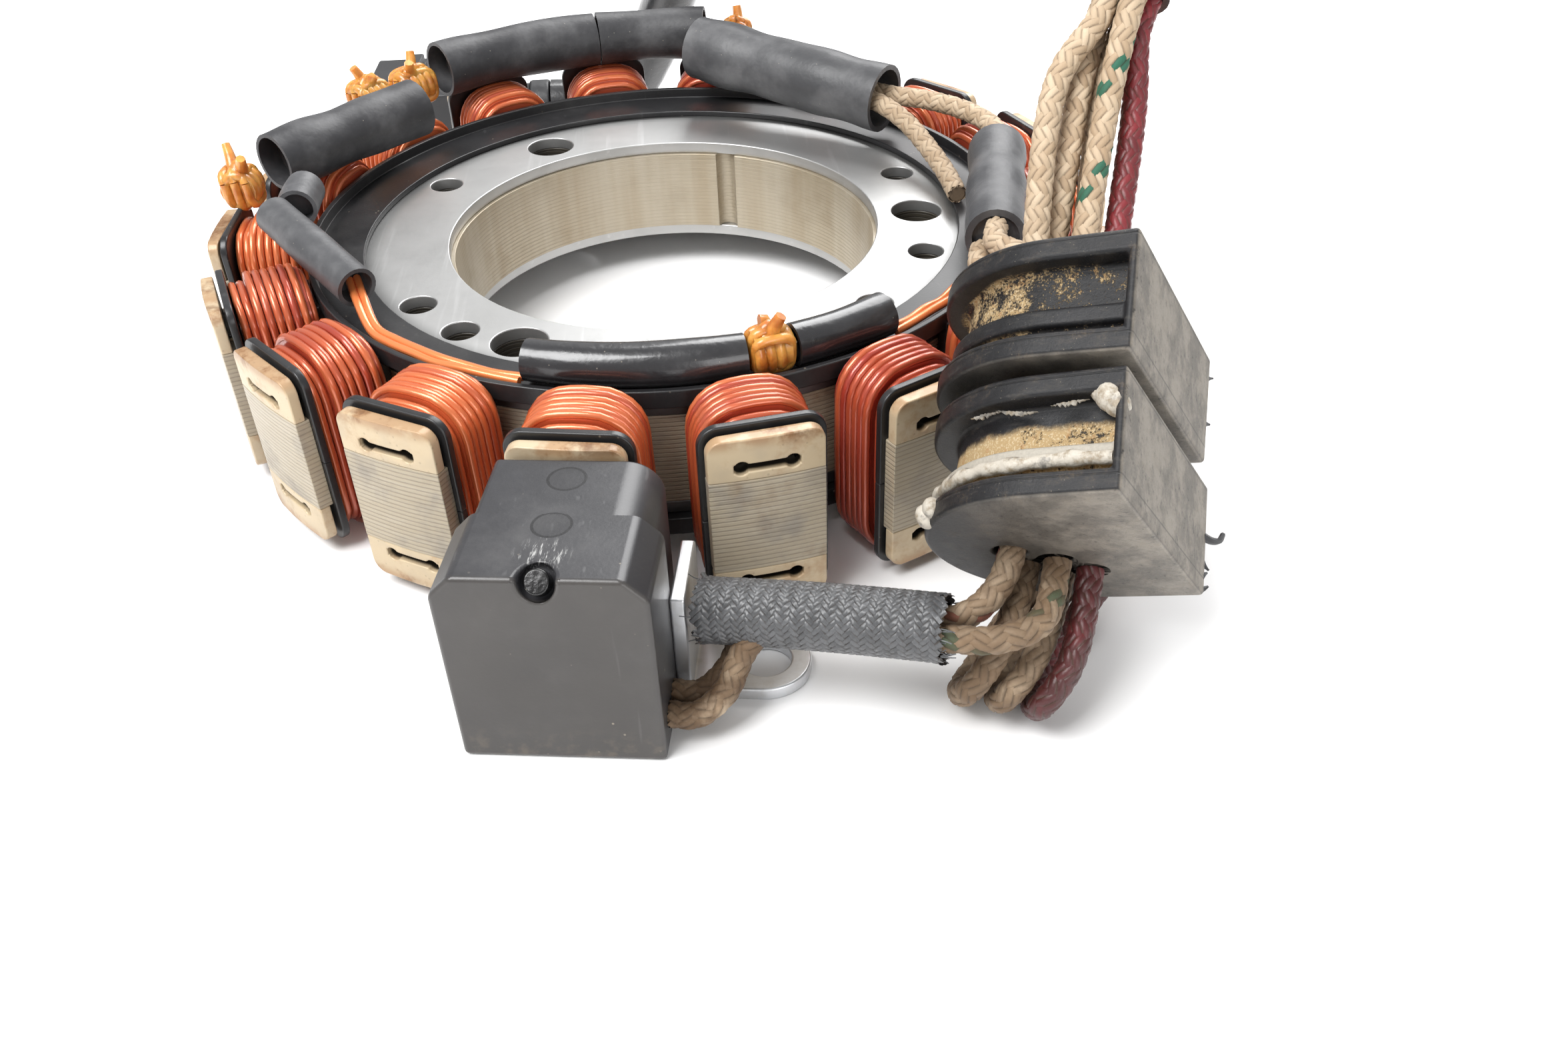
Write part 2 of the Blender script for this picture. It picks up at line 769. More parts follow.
class Look:
    """The finishes of the object."""

    STACK = VarnishedStack("varnished stack")
    PLATE = PlateSteel("plate steel")
    INSULATOR = Plastic("insulator moulding", tone=(0.012, 0.012, 0.013), rough=0.34, dust=0.35)
    HOUSING = PickupPlastic("pickup moulding", tone=(0.026, 0.026, 0.029), rough=0.33, dust=0.8)
    SHELL = Plastic("connector moulding", tone=(0.02, 0.02, 0.022), rough=0.45, dust=0.3)
    ENAMEL = Enamel("wire enamel")
    BARE_ENAMEL = Enamel("crossover enamel", orange=(0.80, 0.23, 0.07), red=(0.62, 0.14, 0.05))
    GLOSSY_SLEEVE = Sleeving("varnished sleeve", bloom=0.10, rough=0.30, coat=0.5)
    DULL_SLEEVE = Sleeving("dull sleeve", tone=(0.026, 0.026, 0.029), bloom=0.35, rough=0.50)
    GREY_SLEEVE = Sleeving("grey sleeve", tone=(0.055, 0.056, 0.060), bloom=0.5, rough=0.46)
    LACING = VarnishedCord("lacing cord")
    CREAM = Yarn("cream braid")
    GREEN_TRACER = Yarn("green tracer braid")
    RED_TRACER = Yarn("red tracer braid", tracer=(0.30, 0.03, 0.03))
    RED = Yarn(
        "red braid", pale=(0.23, 0.020, 0.026), deep=(0.10, 0.009, 0.012), soil=(0.035, 0.006, 0.005),
        rough=0.48, coat=0.12, grounded=0.8)
    GREY_BRAID = Yarn(
        "grey braid", pale=(0.092, 0.094, 0.098), deep=(0.042, 0.043, 0.045),
        rough=0.42, coat=0.15, grounded=0.0)
    ZINC = Zinc("zinc plate")
    PIN = Sleeving("dark pin", tone=(0.003, 0.003, 0.003), bloom=0.0, rough=0.2, coat=0.0)
    RUBBER = Rubber("grommet rubber", sand_top=7.6, rib_white=0.9)
    CLEAN_RUBBER = Rubber("clean grommet rubber", sand_level=0.27)
    SEAL = Sleeving("connector seal", bloom=0.1)
    SEALANT = Sealant("white sealant")
    SKIN = Sealant("torn skin", tone=(0.30, 0.275, 0.235))
    FLOOR = Floor("floor")


# Meshes


@dataclass
class Shape:
    """Mesh data in millimetres, with attributes for each point."""

    points: list[Sequence[float]] = field(default_factory=list)
    faces: list[Sequence[int]] = field(default_factory=list)
    values: dict[str, list[float]] = field(default_factory=dict)

    def add(
        self, points: Iterable[Sequence[float]], faces: Iterable[Sequence[int]],
        **values: float | Iterable[float],
    ) -> None:
        """Adds points and faces.

        Args:
            points: The new points.
            faces: Faces that count from the first new point.
            values: Attribute values, one for all the points or one each.
        """
        start = len(self.points)
        fresh = list(points)
        self.points.extend(fresh)
        self.faces.extend([tuple(i + start for i in f) for f in faces])
        for key in set(self.values) | set(values):
            old = self.values.setdefault(key, [0.0] * start)
            value = values.get(key, 0.0)
            old.extend([float(value)] * len(fresh) if isinstance(value, (int, float)) else map(float, value))

    def mesh(self, name: str, smooth_angle: float | None = 50.0) -> bpy.types.Mesh:
        """Makes a Blender mesh in metres.

        Args:
            name: Its name.
            smooth_angle: Edges sharper than this many degrees stay sharp; None for flat shading.

        Returns:
            The mesh.
        """
        made = bpy.data.meshes.new(name)
        made.from_pydata((np.asarray(self.points, float) * MM).tolist(), [], self.faces)
        for key, value in self.values.items():
            layer = made.attributes.new(key, "FLOAT", "POINT")
            layer.data.foreach_set("value", value)
        finish_shading(made, smooth_angle)
        return made

    def piece(
        self, name: str, finish: Finish, *nodes: str, smooth_angle: float | None = 50.0,
    ) -> bpy.types.Object:
        """Makes a piece of the object.

        Args:
            name: Its name.
            finish: Its finish.
            nodes: CAD nodes that it stands for.
            smooth_angle: As for mesh().

        Returns:
            The piece.
        """
        return add_piece(name, self.mesh(name, smooth_angle), finish, *nodes)


def finish_shading(mesh: bpy.types.Mesh, smooth_angle: float | None) -> None:
    """Shades a mesh.

    Args:
        mesh: The mesh.
        smooth_angle: Edges sharper than this many degrees stay sharp; None for flat shading.
    """
    mesh.validate()
    mesh.polygons.foreach_set("use_smooth", [smooth_angle is not None] * len(mesh.polygons))
    if smooth_angle is not None:
        mesh.set_sharp_from_angle(angle=math.radians(smooth_angle))
    mesh.update()


def add_piece(name: str, mesh: bpy.types.Mesh, finish: Finish, *nodes: str) -> bpy.types.Object:
    """Links a mesh as a piece that rides on the object.

    Args:
        name: The piece's name.
        mesh: Its mesh, in place.
        finish: Its finish.
        nodes: CAD nodes that it stands for.

    Returns:
        The piece.
    """
    piece = bpy.data.objects.new(name, mesh)
    bpy.context.scene.collection.objects.link(piece)
    mesh.materials.clear()
    mesh.materials.append(finish.material())
    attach(piece, BODY)
    if nodes:
        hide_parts(*nodes)
    return piece


def flatten_normals(mesh: bpy.types.Mesh, limit_deg: float = 50.0) -> None:
    """Weights each corner's normal by the area of the faces round it, so that flat faces shade flat.

    Args:
        mesh: The mesh.
        limit_deg: Faces turned away by more than this count for nothing.
    """
    work, limit = bmesh.new(), math.cos(math.radians(limit_deg))
    work.from_mesh(mesh)
    work.normal_update()
    weighted = {face: face.normal * face.calc_area() for face in work.faces}
    normals = []
    for face in work.faces:
        for corner in face.loops:
            near = [weighted[f] for f in corner.vert.link_faces if f.normal.dot(face.normal) > limit]
            normals.append(sum(near, Vector()).normalized() if near else face.normal.copy())
    work.free()
    mesh.normals_split_custom_set(normals)


def rounded_copy(
    name: str, node: str, finish: Finish, width: float, segments: int = 2,
    skip: Callable[[Vector], bool] = lambda middle: False,
) -> bpy.types.Object:
    """Copies a CAD node with its edges rounded, and stands the copy in for it.

    Args:
        name: The copy's name.
        node: The CAD node.
        finish: The copy's finish.
        width: Width of the rounding, in millimetres.
        segments: Facets across it.
        skip: Tells, from its middle in millimetres, whether an edge stays sharp.

    Returns:
        The copy.
    """
    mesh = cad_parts[node].data.copy()
    work = bmesh.new()
    work.from_mesh(mesh)
    bmesh.ops.remove_doubles(work, verts=work.verts, dist=2e-6)
    bmesh.ops.dissolve_limit(work, angle_limit=math.radians(0.6), verts=work.verts, edges=work.edges)
    sharp = [e for e in work.edges if len(e.link_faces) == 2 and e.calc_face_angle(0.0) > math.radians(28)]
    sharp = [e for e in sharp if not skip((e.verts[0].co + e.verts[1].co) / (2 * MM))]
    if width > 0:
        bmesh.ops.bevel(
            work, geom=sharp, offset=width * MM, offset_type="OFFSET", segments=segments,
            profile=0.5, affect="EDGES", clamp_overlap=False,
        )
    work.to_mesh(mesh)
    work.free()
    for layer in list(mesh.attributes):
        if layer.name.startswith("custom_normal"):
            mesh.attributes.remove(layer)
    finish_shading(mesh, 40.0)
    flatten_normals(mesh)
    return add_piece(name, mesh, finish, node)


def set_local(piece: bpy.types.Object, place: Sequence[float], degrees: Sequence[float]) -> np.ndarray:
    """Stores each point's place in a piece's own frame, in millimetres.

    Args:
        piece: The piece.
        place: The frame's origin.
        degrees: The frame's turn.

    Returns:
        The local points.
    """
    mesh = piece.data
    co = np.zeros(len(mesh.vertices) * 3)
    mesh.vertices.foreach_get("co", co)
    axes = np.array([turned(e, degrees) for e in np.eye(3)])
    local = (co.reshape(-1, 3) / MM - np.asarray(place)) @ axes.T
    layer = mesh.attributes.new("local_mm", "FLOAT_VECTOR", "POINT")
    layer.data.foreach_set("vector", local.ravel())
    return local


# Routes and sweeps


@dataclass
class Route:
    """A smooth line through points, resampled evenly, with a frame at each sample."""

    knots: Sequence[Sequence[float]]
    step: float = 0.5
    centre: np.ndarray = field(init=False)
    tangent: np.ndarray = field(init=False)
    normal: np.ndarray = field(init=False)
    side: np.ndarray = field(init=False)
    along: np.ndarray = field(init=False)

    def __post_init__(self) -> None:
        dense = self.curve(np.asarray(self.knots, float))
        gaps = np.linalg.norm(np.diff(dense, axis=0), axis=1)
        reach = np.concatenate([[0.0], np.cumsum(gaps)])
        count = max(3, int(round(reach[-1] / self.step)) + 1)
        self.along = np.linspace(0.0, reach[-1], count)
        self.centre = np.stack([np.interp(self.along, reach, dense[:, k]) for k in range(3)], 1)
        slope = np.gradient(self.centre, axis=0)
        self.tangent = slope / np.linalg.norm(slope, axis=1, keepdims=True)
        self.normal = self.carry()
        self.side = np.cross(self.tangent, self.normal)

    @staticmethod
    def curve(p: np.ndarray) -> np.ndarray:
        """Runs a centripetal spline through points.

        Args:
            p: The points.

        Returns:
            Closely spaced points on the spline.
        """
        ends = np.vstack([2 * p[0] - p[1], p, 2 * p[-1] - p[-2]])
        out = [p[:1]]
        for a, b, c, d in zip(ends, ends[1:], ends[2:], ends[3:]):
            t0 = 0.0
            t1 = t0 + math.sqrt(np.linalg.norm(b - a))
            t2 = t1 + math.sqrt(np.linalg.norm(c - b))
            t3 = t2 + math.sqrt(np.linalg.norm(d - c))
            t = np.linspace(t1, t2, 17)[1:, None]
            a1 = (t1 - t) / (t1 - t0) * a + (t - t0) / (t1 - t0) * b
            a2 = (t2 - t) / (t2 - t1) * b + (t - t1) / (t2 - t1) * c
            a3 = (t3 - t) / (t3 - t2) * c + (t - t2) / (t3 - t2) * d
            b1 = (t2 - t) / (t2 - t0) * a1 + (t - t0) / (t2 - t0) * a2
            b2 = (t3 - t) / (t3 - t1) * a2 + (t - t1) / (t3 - t1) * a3
            out.append((t2 - t) / (t2 - t1) * b1 + (t - t1) / (t2 - t1) * b2)
        return np.vstack(out)

    def carry(self) -> np.ndarray:
        """Carries a normal along the line without twist.

        Returns:
            A normal for each sample.
        """
        first = np.cross(self.tangent[0], (0, 0, 1) if abs(self.tangent[0][2]) < 0.8 else (1, 0, 0))
        normals = [first / np.linalg.norm(first)]
        for t in self.tangent[1:]:
            n = normals[-1] - np.dot(normals[-1], t) * t
            normals.append(n / np.linalg.norm(n))
        return np.array(normals)

    @property
    def length(self) -> float:
        """Length of the line, in millimetres."""
        return float(self.along[-1])

    def ring(self, i: int, radius: float, sides: int) -> np.ndarray:
        """Gives a ring of points round a sample.

        Args:
            i: The sample.
            radius: The ring's radius.
            sides: How many points.

        Returns:
            The points.
        """
        a = np.linspace(0, 2 * math.pi, sides, endpoint=False)[:, None]
        return self.centre[i] + radius * (np.cos(a) * self.normal[i] + np.sin(a) * self.side[i])


def ring_faces(rows: int, sides: int, closed: bool = True) -> list[tuple[int, ...]]:
    """Joins rows of points into faces.

    Args:
        rows: How many rows.
        sides: Points in a row.
        closed: Whether a row joins its last point to its first.

    Returns:
        The faces.
    """
    span = sides if closed else sides - 1
    return [
        (r * sides + k, r * sides + (k + 1) % sides, (r + 1) * sides + (k + 1) % sides, (r + 1) * sides + k)
        for r in range(rows - 1)
        for k in range(span)
    ]


def tube(
    shape: Shape, route: Route, radius: Callable[[float], float] | float, sides: int = 12, caps: bool = True,
    **values: float,
) -> None:
    """Adds a round tube to a shape.

    Args:
        shape: The shape.
        route: The line that it follows.
        radius: Its radius, or a function of the distance along it.
        sides: Facets round it.
        caps: Whether its ends are closed.
        values: Attribute values.
    """
    size = radius if callable(radius) else (lambda s: radius)
    rows = len(route.along)
    points = np.vstack([route.ring(i, size(route.along[i]), sides) for i in range(rows)])
    faces = ring_faces(rows, sides)
    if caps:
        faces += [tuple(range(sides))[::-1], tuple((rows - 1) * sides + k for k in range(sides))]
    shape.add(points, faces, **values)


def hollow_tube(
    shape: Shape, route: Route, radius: Callable[[float], float], wall: float, depth: float, sides: int = 24,
) -> None:
    """Adds a tube with open ends that are hollow to a depth.

    Args:
        shape: The shape.
        route: The line that it follows.
        radius: Its outer radius along the line.
        wall: Its wall thickness.
        depth: How far its ends are hollow.
        sides: Facets round it.
    """
    last = len(route.along) - 1
    rows = [route.ring(i, radius(route.along[i]), sides) for i in range(last + 1)]
    inner = max(1, int(depth / route.step))

    def lip(i: int, shrink: float) -> np.ndarray:
        return route.ring(i, radius(route.along[i]) - shrink, sides)

    head = [lip(min(inner, last), wall), lip(0, wall), lip(0, wall * 0.35)]
    tail = [lip(last, wall * 0.35), lip(last, wall), lip(max(last - inner, 0), wall)]
    chain = head + rows + tail
    faces = ring_faces(len(chain), sides)
    faces += [tuple(range(sides))[::-1], tuple((len(chain) - 1) * sides + k for k in range(sides))]
    shape.add(np.vstack(chain), faces)


@dataclass
class Braid:
    """Two sets of flat yarns wound over a line, each passing over two and under two of the other set."""

    route: Route
    diameter: float
    carriers: int = 8
    lay_deg: float = 32.0
    yarn_w: float = 0.92
    yarn_t: float = 0.22
    tracers: tuple[int, ...] = ()
    tracer_span: tuple[float, float] = (0.0, 0.0)
    seed: int = 1
    fray: float = 0.0
    soil: Callable[[np.ndarray], np.ndarray] | None = None

    def add_to(self, shape: Shape) -> None:
        """Adds the yarns to a shape.

        Args:
            shape: The shape.
        """
        rng = random.Random(self.seed)
        for turn in (1, -1):
            for strand in range(self.carriers):
                tone = rng.random()
                tracer = 1.0 if turn == 1 and strand in self.tracers else 0.0
                self.add_yarn(shape, turn, strand, tone, tracer, rng)

    def add_yarn(
        self, shape: Shape, turn: int, strand: int, tone: float, tracer: float, rng: random.Random,
    ) -> None:
        """Adds one yarn.

        Args:
            shape: The shape.
            turn: 1 or -1, the way that it winds.
            strand: Its number in its set.
            tone: Its shade, 0 to 1.
            tracer: 1 for a coloured yarn.
            rng: Source of chance for the frayed ends.
        """
        r, route = self.route, self.route
        rise = math.radians(self.lay_deg)
        radius = self.diameter / 2 - self.yarn_t
        advance = r.along * math.tan(rise) / radius
        phase = 2 * math.pi * strand / self.carriers
        angle = (phase + turn * advance)[:, None]
        lift = turn * 0.5 * self.yarn_t * np.sin(advance * self.carriers / 2 + math.pi / 4)
        near_end = np.minimum(r.along, r.along[-1] - r.along)
        if self.fray:
            flare = self.fray * rng.uniform(0.2, 1.0) * np.clip(1 - near_end / 1.4, 0, 1) ** 2
            lift = lift + flare
        out = np.cos(angle) * route.normal + np.sin(angle) * route.side
        round_way = turn * (-np.sin(angle) * route.normal + np.cos(angle) * route.side)
        width = -math.sin(rise) * route.tangent + math.cos(rise) * round_way
        base = route.centre + (radius + lift)[:, None] * out
        w, t = self.yarn_w / 2, self.yarn_t / 2
        offsets = ((-w, -t, 1.0), (-w * 0.55, t, 0.0), (w * 0.55, t, 0.0), (w, -t, 1.0))
        rows = np.stack([base + a * width + b * out for a, b, _ in offsets], 1)
        keep = np.ones(len(base), bool)
        if self.fray:
            keep = (r.along > rng.uniform(0, 0.7)) & (r.along < r.along[-1] - rng.uniform(0, 0.7))
        rows = rows[keep]
        edge = np.tile([o[2] for o in offsets], len(rows))
        soil = np.repeat(self.soil(r.along[keep]), 4) if self.soil else 0.0
        first, last = self.tracer_span
        seen = np.repeat((r.along[keep] > first) & (r.along[keep] < last), 4)
        shape.add(
            rows.reshape(-1, 3), ring_faces(len(rows), 4, closed=False),
            yarn_tone=tone, tracer=tracer * seen, yarn_edge=edge, soil=soil,
        )


# Geometry Nodes


class RingArray:
    """A node group that sets copies of a mesh round the Z axis, each with a random shade."""

    INPUTS = (
        ("Geometry", "NodeSocketGeometry"),
        ("Count", "NodeSocketInt"),
        ("Start", "NodeSocketFloat"),
        ("Seed", "NodeSocketInt"),
        ("Material", "NodeSocketMaterial"),
    )

    def __init__(self) -> None:
        self.tree = bpy.data.node_groups.new("ring array", "GeometryNodeTree")
        self.keys: dict[str, str] = {}
        for name, kind in self.INPUTS:
            socket = self.tree.interface.new_socket(name=name, in_out="INPUT", socket_type=kind)
            self.keys[name] = socket.identifier
        self.tree.interface.new_socket(name="Geometry", in_out="OUTPUT", socket_type="NodeSocketGeometry")
        self.build()

    def build(self) -> None:
        """Fills the node group."""
        nodes, links = self.tree.nodes, self.tree.links
        given = nodes.new("NodeGroupInput")
        result = nodes.new("NodeGroupOutput")
        dots = nodes.new("GeometryNodePoints")
        links.new(given.outputs["Count"], dots.inputs["Count"])
        index = nodes.new("GeometryNodeInputIndex")
        pitch = nodes.new("ShaderNodeMath")
        pitch.operation = "DIVIDE"
        pitch.inputs[0].default_value = 2 * math.pi
        links.new(given.outputs["Count"], pitch.inputs[1])
        angle = nodes.new("ShaderNodeMath")
        angle.operation = "MULTIPLY_ADD"
        links.new(index.outputs[0], angle.inputs[0])
        links.new(pitch.outputs[0], angle.inputs[1])
        links.new(given.outputs["Start"], angle.inputs[2])
        turn = nodes.new("ShaderNodeCombineXYZ")
        links.new(angle.outputs[0], turn.inputs["Z"])
        copies = nodes.new("GeometryNodeInstanceOnPoints")
        links.new(dots.outputs[0], copies.inputs["Points"])
        links.new(given.outputs["Geometry"], copies.inputs["Instance"])
        links.new(turn.outputs[0], copies.inputs["Rotation"])
        chance = nodes.new("FunctionNodeRandomValue")
        chance.data_type = "FLOAT"
        links.new(given.outputs["Seed"], chance.inputs["Seed"])
        shade = nodes.new("GeometryNodeStoreNamedAttribute")
        shade.data_type, shade.domain = "FLOAT", "INSTANCE"
        shade.inputs["Name"].default_value = "coil_tone"
        links.new(copies.outputs[0], shade.inputs["Geometry"])
        links.new(chance.outputs[1], shade.inputs["Value"])
        real = nodes.new("GeometryNodeRealizeInstances")
        links.new(shade.outputs[0], real.inputs[0])
        paint = nodes.new("GeometryNodeSetMaterial")
        links.new(real.outputs[0], paint.inputs["Geometry"])
        links.new(given.outputs["Material"], paint.inputs["Material"])
        links.new(paint.outputs[0], result.inputs[0])

    def run(
        self, name: str, base: bpy.types.Mesh, count: int, start: float, seed: int, finish: Finish,
    ) -> bpy.types.Mesh:
        """Makes the copies as one mesh.

        Args:
            name: The mesh's name.
            base: The mesh to copy.
            count: How many copies.
            start: Angle of the first, in radians.
            seed: Seed of the shades.
            finish: Their finish.

        Returns:
            The mesh.
        """
        carrier = bpy.data.objects.new(name + "_carrier", base)
        bpy.context.scene.collection.objects.link(carrier)
        mod = carrier.modifiers.new("copies", "NODES")
        mod.node_group = self.tree
        values = {"Count": count, "Start": start, "Seed": seed, "Material": finish.material()}
        for key, value in values.items():
            mod[self.keys[key]] = value
        bpy.context.view_layer.update()
        graph = bpy.context.evaluated_depsgraph_get()
        mesh = bpy.data.meshes.new_from_object(carrier.evaluated_get(graph))
        carrier.modifiers.clear()
        bpy.data.objects.remove(carrier)
        mesh.name = name
        return mesh


# Sub-assemblies


@dataclass
class Winding:
    """The eighteen coils, as turns of wire."""

    sizes: Sizes = SIZES
    seed: int = 5
    corner_points: int = 7

    def loop(self, inset: float) -> list[tuple[float, float]]:
        """Gives one turn's outline across the pole, from the middle of the bottom.

        Args:
            inset: How far the turn lies inside the outermost layer.

        Returns:
            Points as (across, up), anticlockwise.
        """
        s = self.sizes
        w = s.neck_w / 2 + s.ins_t + 0.1 + s.side_t - s.wire_d / 2 - inset
        h = s.coil_top - s.stack_h / 2 - s.wire_d / 2 - inset
        low = -h - s.crown_drop
        r = max(s.corner_r - s.wire_d / 2 - inset, 1.2)
        points: list[tuple[float, float]] = [(0.0, low)]
        corners = ((w - r, low + r, -90), (w - r, h - r, 0), (-w + r, h - r, 90), (-w + r, low + r, 180))
        for n, (x, y, a0) in enumerate(corners):
            for k in range(self.corner_points):
                a = math.radians(a0 + 90 * k / (self.corner_points - 1))
                points.append((x + r * math.cos(a), y + r * math.sin(a)))
            if n == 0:
                points.append((w + 0.08, 0.0))
            if n == 1:
                points.append((0.0, h + 0.06))
            if n == 2:
                points.append((-w - 0.08, 0.0))
        return points

    def base(self) -> bpy.types.Mesh:
        """Makes one coil along +X.

        Returns:
            Its mesh.
        """
        s, rng, shape = self.sizes, random.Random(self.seed), Shape()
        pitch = s.wire_d
        mid = s.stack_h / 2
        for k in range(s.turns):
            low = k == 0 or k >= s.turns - 2
            outline = self.loop(s.wire_d if low else rng.uniform(0.0, 0.10))
            x0 = s.coil_root_r + (k + 0.5) * pitch - 0.45 * pitch
            count = len(outline)
            drift = [rng.uniform(-0.05, 0.05) for _ in outline]
            knots = [
                (x0 + 0.9 * pitch * n / count + drift[n] * 0.6, across, mid + up)
                for n, (across, up) in enumerate(outline)
            ]
            self.wire(shape, np.array(knots), s.wire_d / 2 * 0.99, 7, turn_tone=rng.random())
        for layer_x, inset in ((0.6, 2 * s.wire_d), (s.turns * pitch - 0.6, 2 * s.wire_d)):
            outline = self.loop(inset)
            knots = np.array([(s.coil_root_r + layer_x, a, mid + u) for a, u in outline])
            self.wire(shape, knots, s.wire_d / 2, 6, turn_tone=rng.random())
        self.fill(shape)
        return shape.mesh("coil base", 60.0)

    @staticmethod
    def wire(shape: Shape, loop: np.ndarray, radius: float, sides: int, **values: float) -> None:
        """Adds a closed turn of wire.

        Args:
            shape: The shape.
            loop: The turn's points.
            radius: The wire's radius.
            sides: Facets round the wire.
            values: Attribute values.
        """
        slope = np.roll(loop, -1, 0) - np.roll(loop, 1, 0)
        tangent = slope / np.linalg.norm(slope, axis=1, keepdims=True)
        along_pole = np.tile((1.0, 0.0, 0.0), (len(loop), 1))
        out = np.cross(tangent, along_pole)
        out /= np.linalg.norm(out, axis=1, keepdims=True)
        flat = np.cross(out, tangent)
        a = np.linspace(0, 2 * math.pi, sides, endpoint=False)
        ways = np.cos(a)[None, :, None] * out[:, None] + np.sin(a)[None, :, None] * flat[:, None]
        rows = loop[:, None] + radius * ways
        faces = []
        for r in range(len(loop)):
            here, there = r * sides, (r + 1) % len(loop) * sides
            for k in range(sides):
                beside = (k + 1) % sides
                faces.append((here + k, here + beside, there + beside, there + k))
        shape.add(rows.reshape(-1, 3), faces, **values)

    def fill(self, shape: Shape) -> None:
        """Adds the inner layers as one plain block under the turns.

        Args:
            shape: The shape.
        """
        s = self.sizes
        blocks = ((0.15, 1.0, 1.3), (0.6, s.turns - 2.1, 0.25), (s.turns - 2.6, s.turns - 0.15, 1.3))
        for x0, x1, inset in blocks:
            outline = self.loop(inset * s.wire_d)
            n = len(outline)
            ends = [s.coil_root_r + x0 * s.wire_d, s.coil_root_r + x1 * s.wire_d]
            points = [(x, a, s.stack_h / 2 + u) for x in ends for a, u in outline]
            faces = [(k, (k + 1) % n, n + (k + 1) % n, n + k) for k in range(n)]
            faces += [tuple(range(n))[::-1], tuple(range(n, 2 * n))]
            shape.add(points, faces, turn_tone=0.9)

    def build(self) -> bpy.types.Object:
        """Makes the winding.

        Returns:
            The piece.
        """
        start = math.radians(180.0 / self.sizes.poles - 90.0)
        mesh = RingArray().run("winding", self.base(), self.sizes.poles, start, self.seed, Look.ENAMEL)
        nodes = [f"coil_{i:02d}" for i in range(1, self.sizes.poles + 1)]
        return add_piece("winding_turns", mesh, Look.ENAMEL, *nodes)


@dataclass
class Core:
    """Lamination stack, end plates and insulators."""

    round_mm: float = 0.18

    def build(self) -> None:
        """Makes the pieces."""
        rounded_copy("stack_body", "core_stack", Look.STACK, self.round_mm * 0.6)
        for side in ("upper", "lower"):
            rounded_copy(f"{side}_plate_body", f"{side}_end_plate", Look.PLATE, self.round_mm)
            rounded_copy(f"{side}_insulator_body", f"{side}_insulator", Look.INSULATOR, self.round_mm)


class SleeveKind(Enum):
    """Finishes of the sleeves."""

    GLOSSY = Look.GLOSSY_SLEEVE
    DULL = Look.DULL_SLEEVE
    GREY = Look.GREY_SLEEVE


@dataclass
class Sleeve:
    """One insulating sleeve over a joint."""

    node: str
    knots: Sequence[Point]
    diameter: float
    kind: SleeveKind
    wall: float = 0.5
    depth: float = 3.0
    seed: int = 1

    @staticmethod
    def arc(r: float, z: float, a0: float, a1: float) -> list[Point]:
        """Gives the knots of a sleeve that lies on an arc.

        Args:
            r: The arc's radius.
            z: Its height.
            a0: Its first angle.
            a1: Its last angle.

        Returns:
            The knots.
        """
        return [polar(r, a0 + (a1 - a0) * k / 5, z) for k in range(6)]

    def build(self) -> bpy.types.Object:
        """Makes the sleeve, a little uneven along its length.

        Returns:
            The piece.
        """
        rng = random.Random(self.seed)
        route = Route(self.knots, 0.6)
        waves = [(rng.uniform(0.15, 0.7), rng.uniform(0, 6.3), rng.uniform(0.01, 0.022)) for _ in range(4)]
        half = self.diameter / 2

        def radius(s: float) -> float:
            return half * (0.972 + sum(a * math.sin(f * s + p) for f, p, a in waves))

        shape = Shape()
        hollow_tube(shape, route, radius, self.wall, self.depth)
        return shape.piece(self.node + "_skin", self.kind.value, self.node, smooth_angle=40.0)


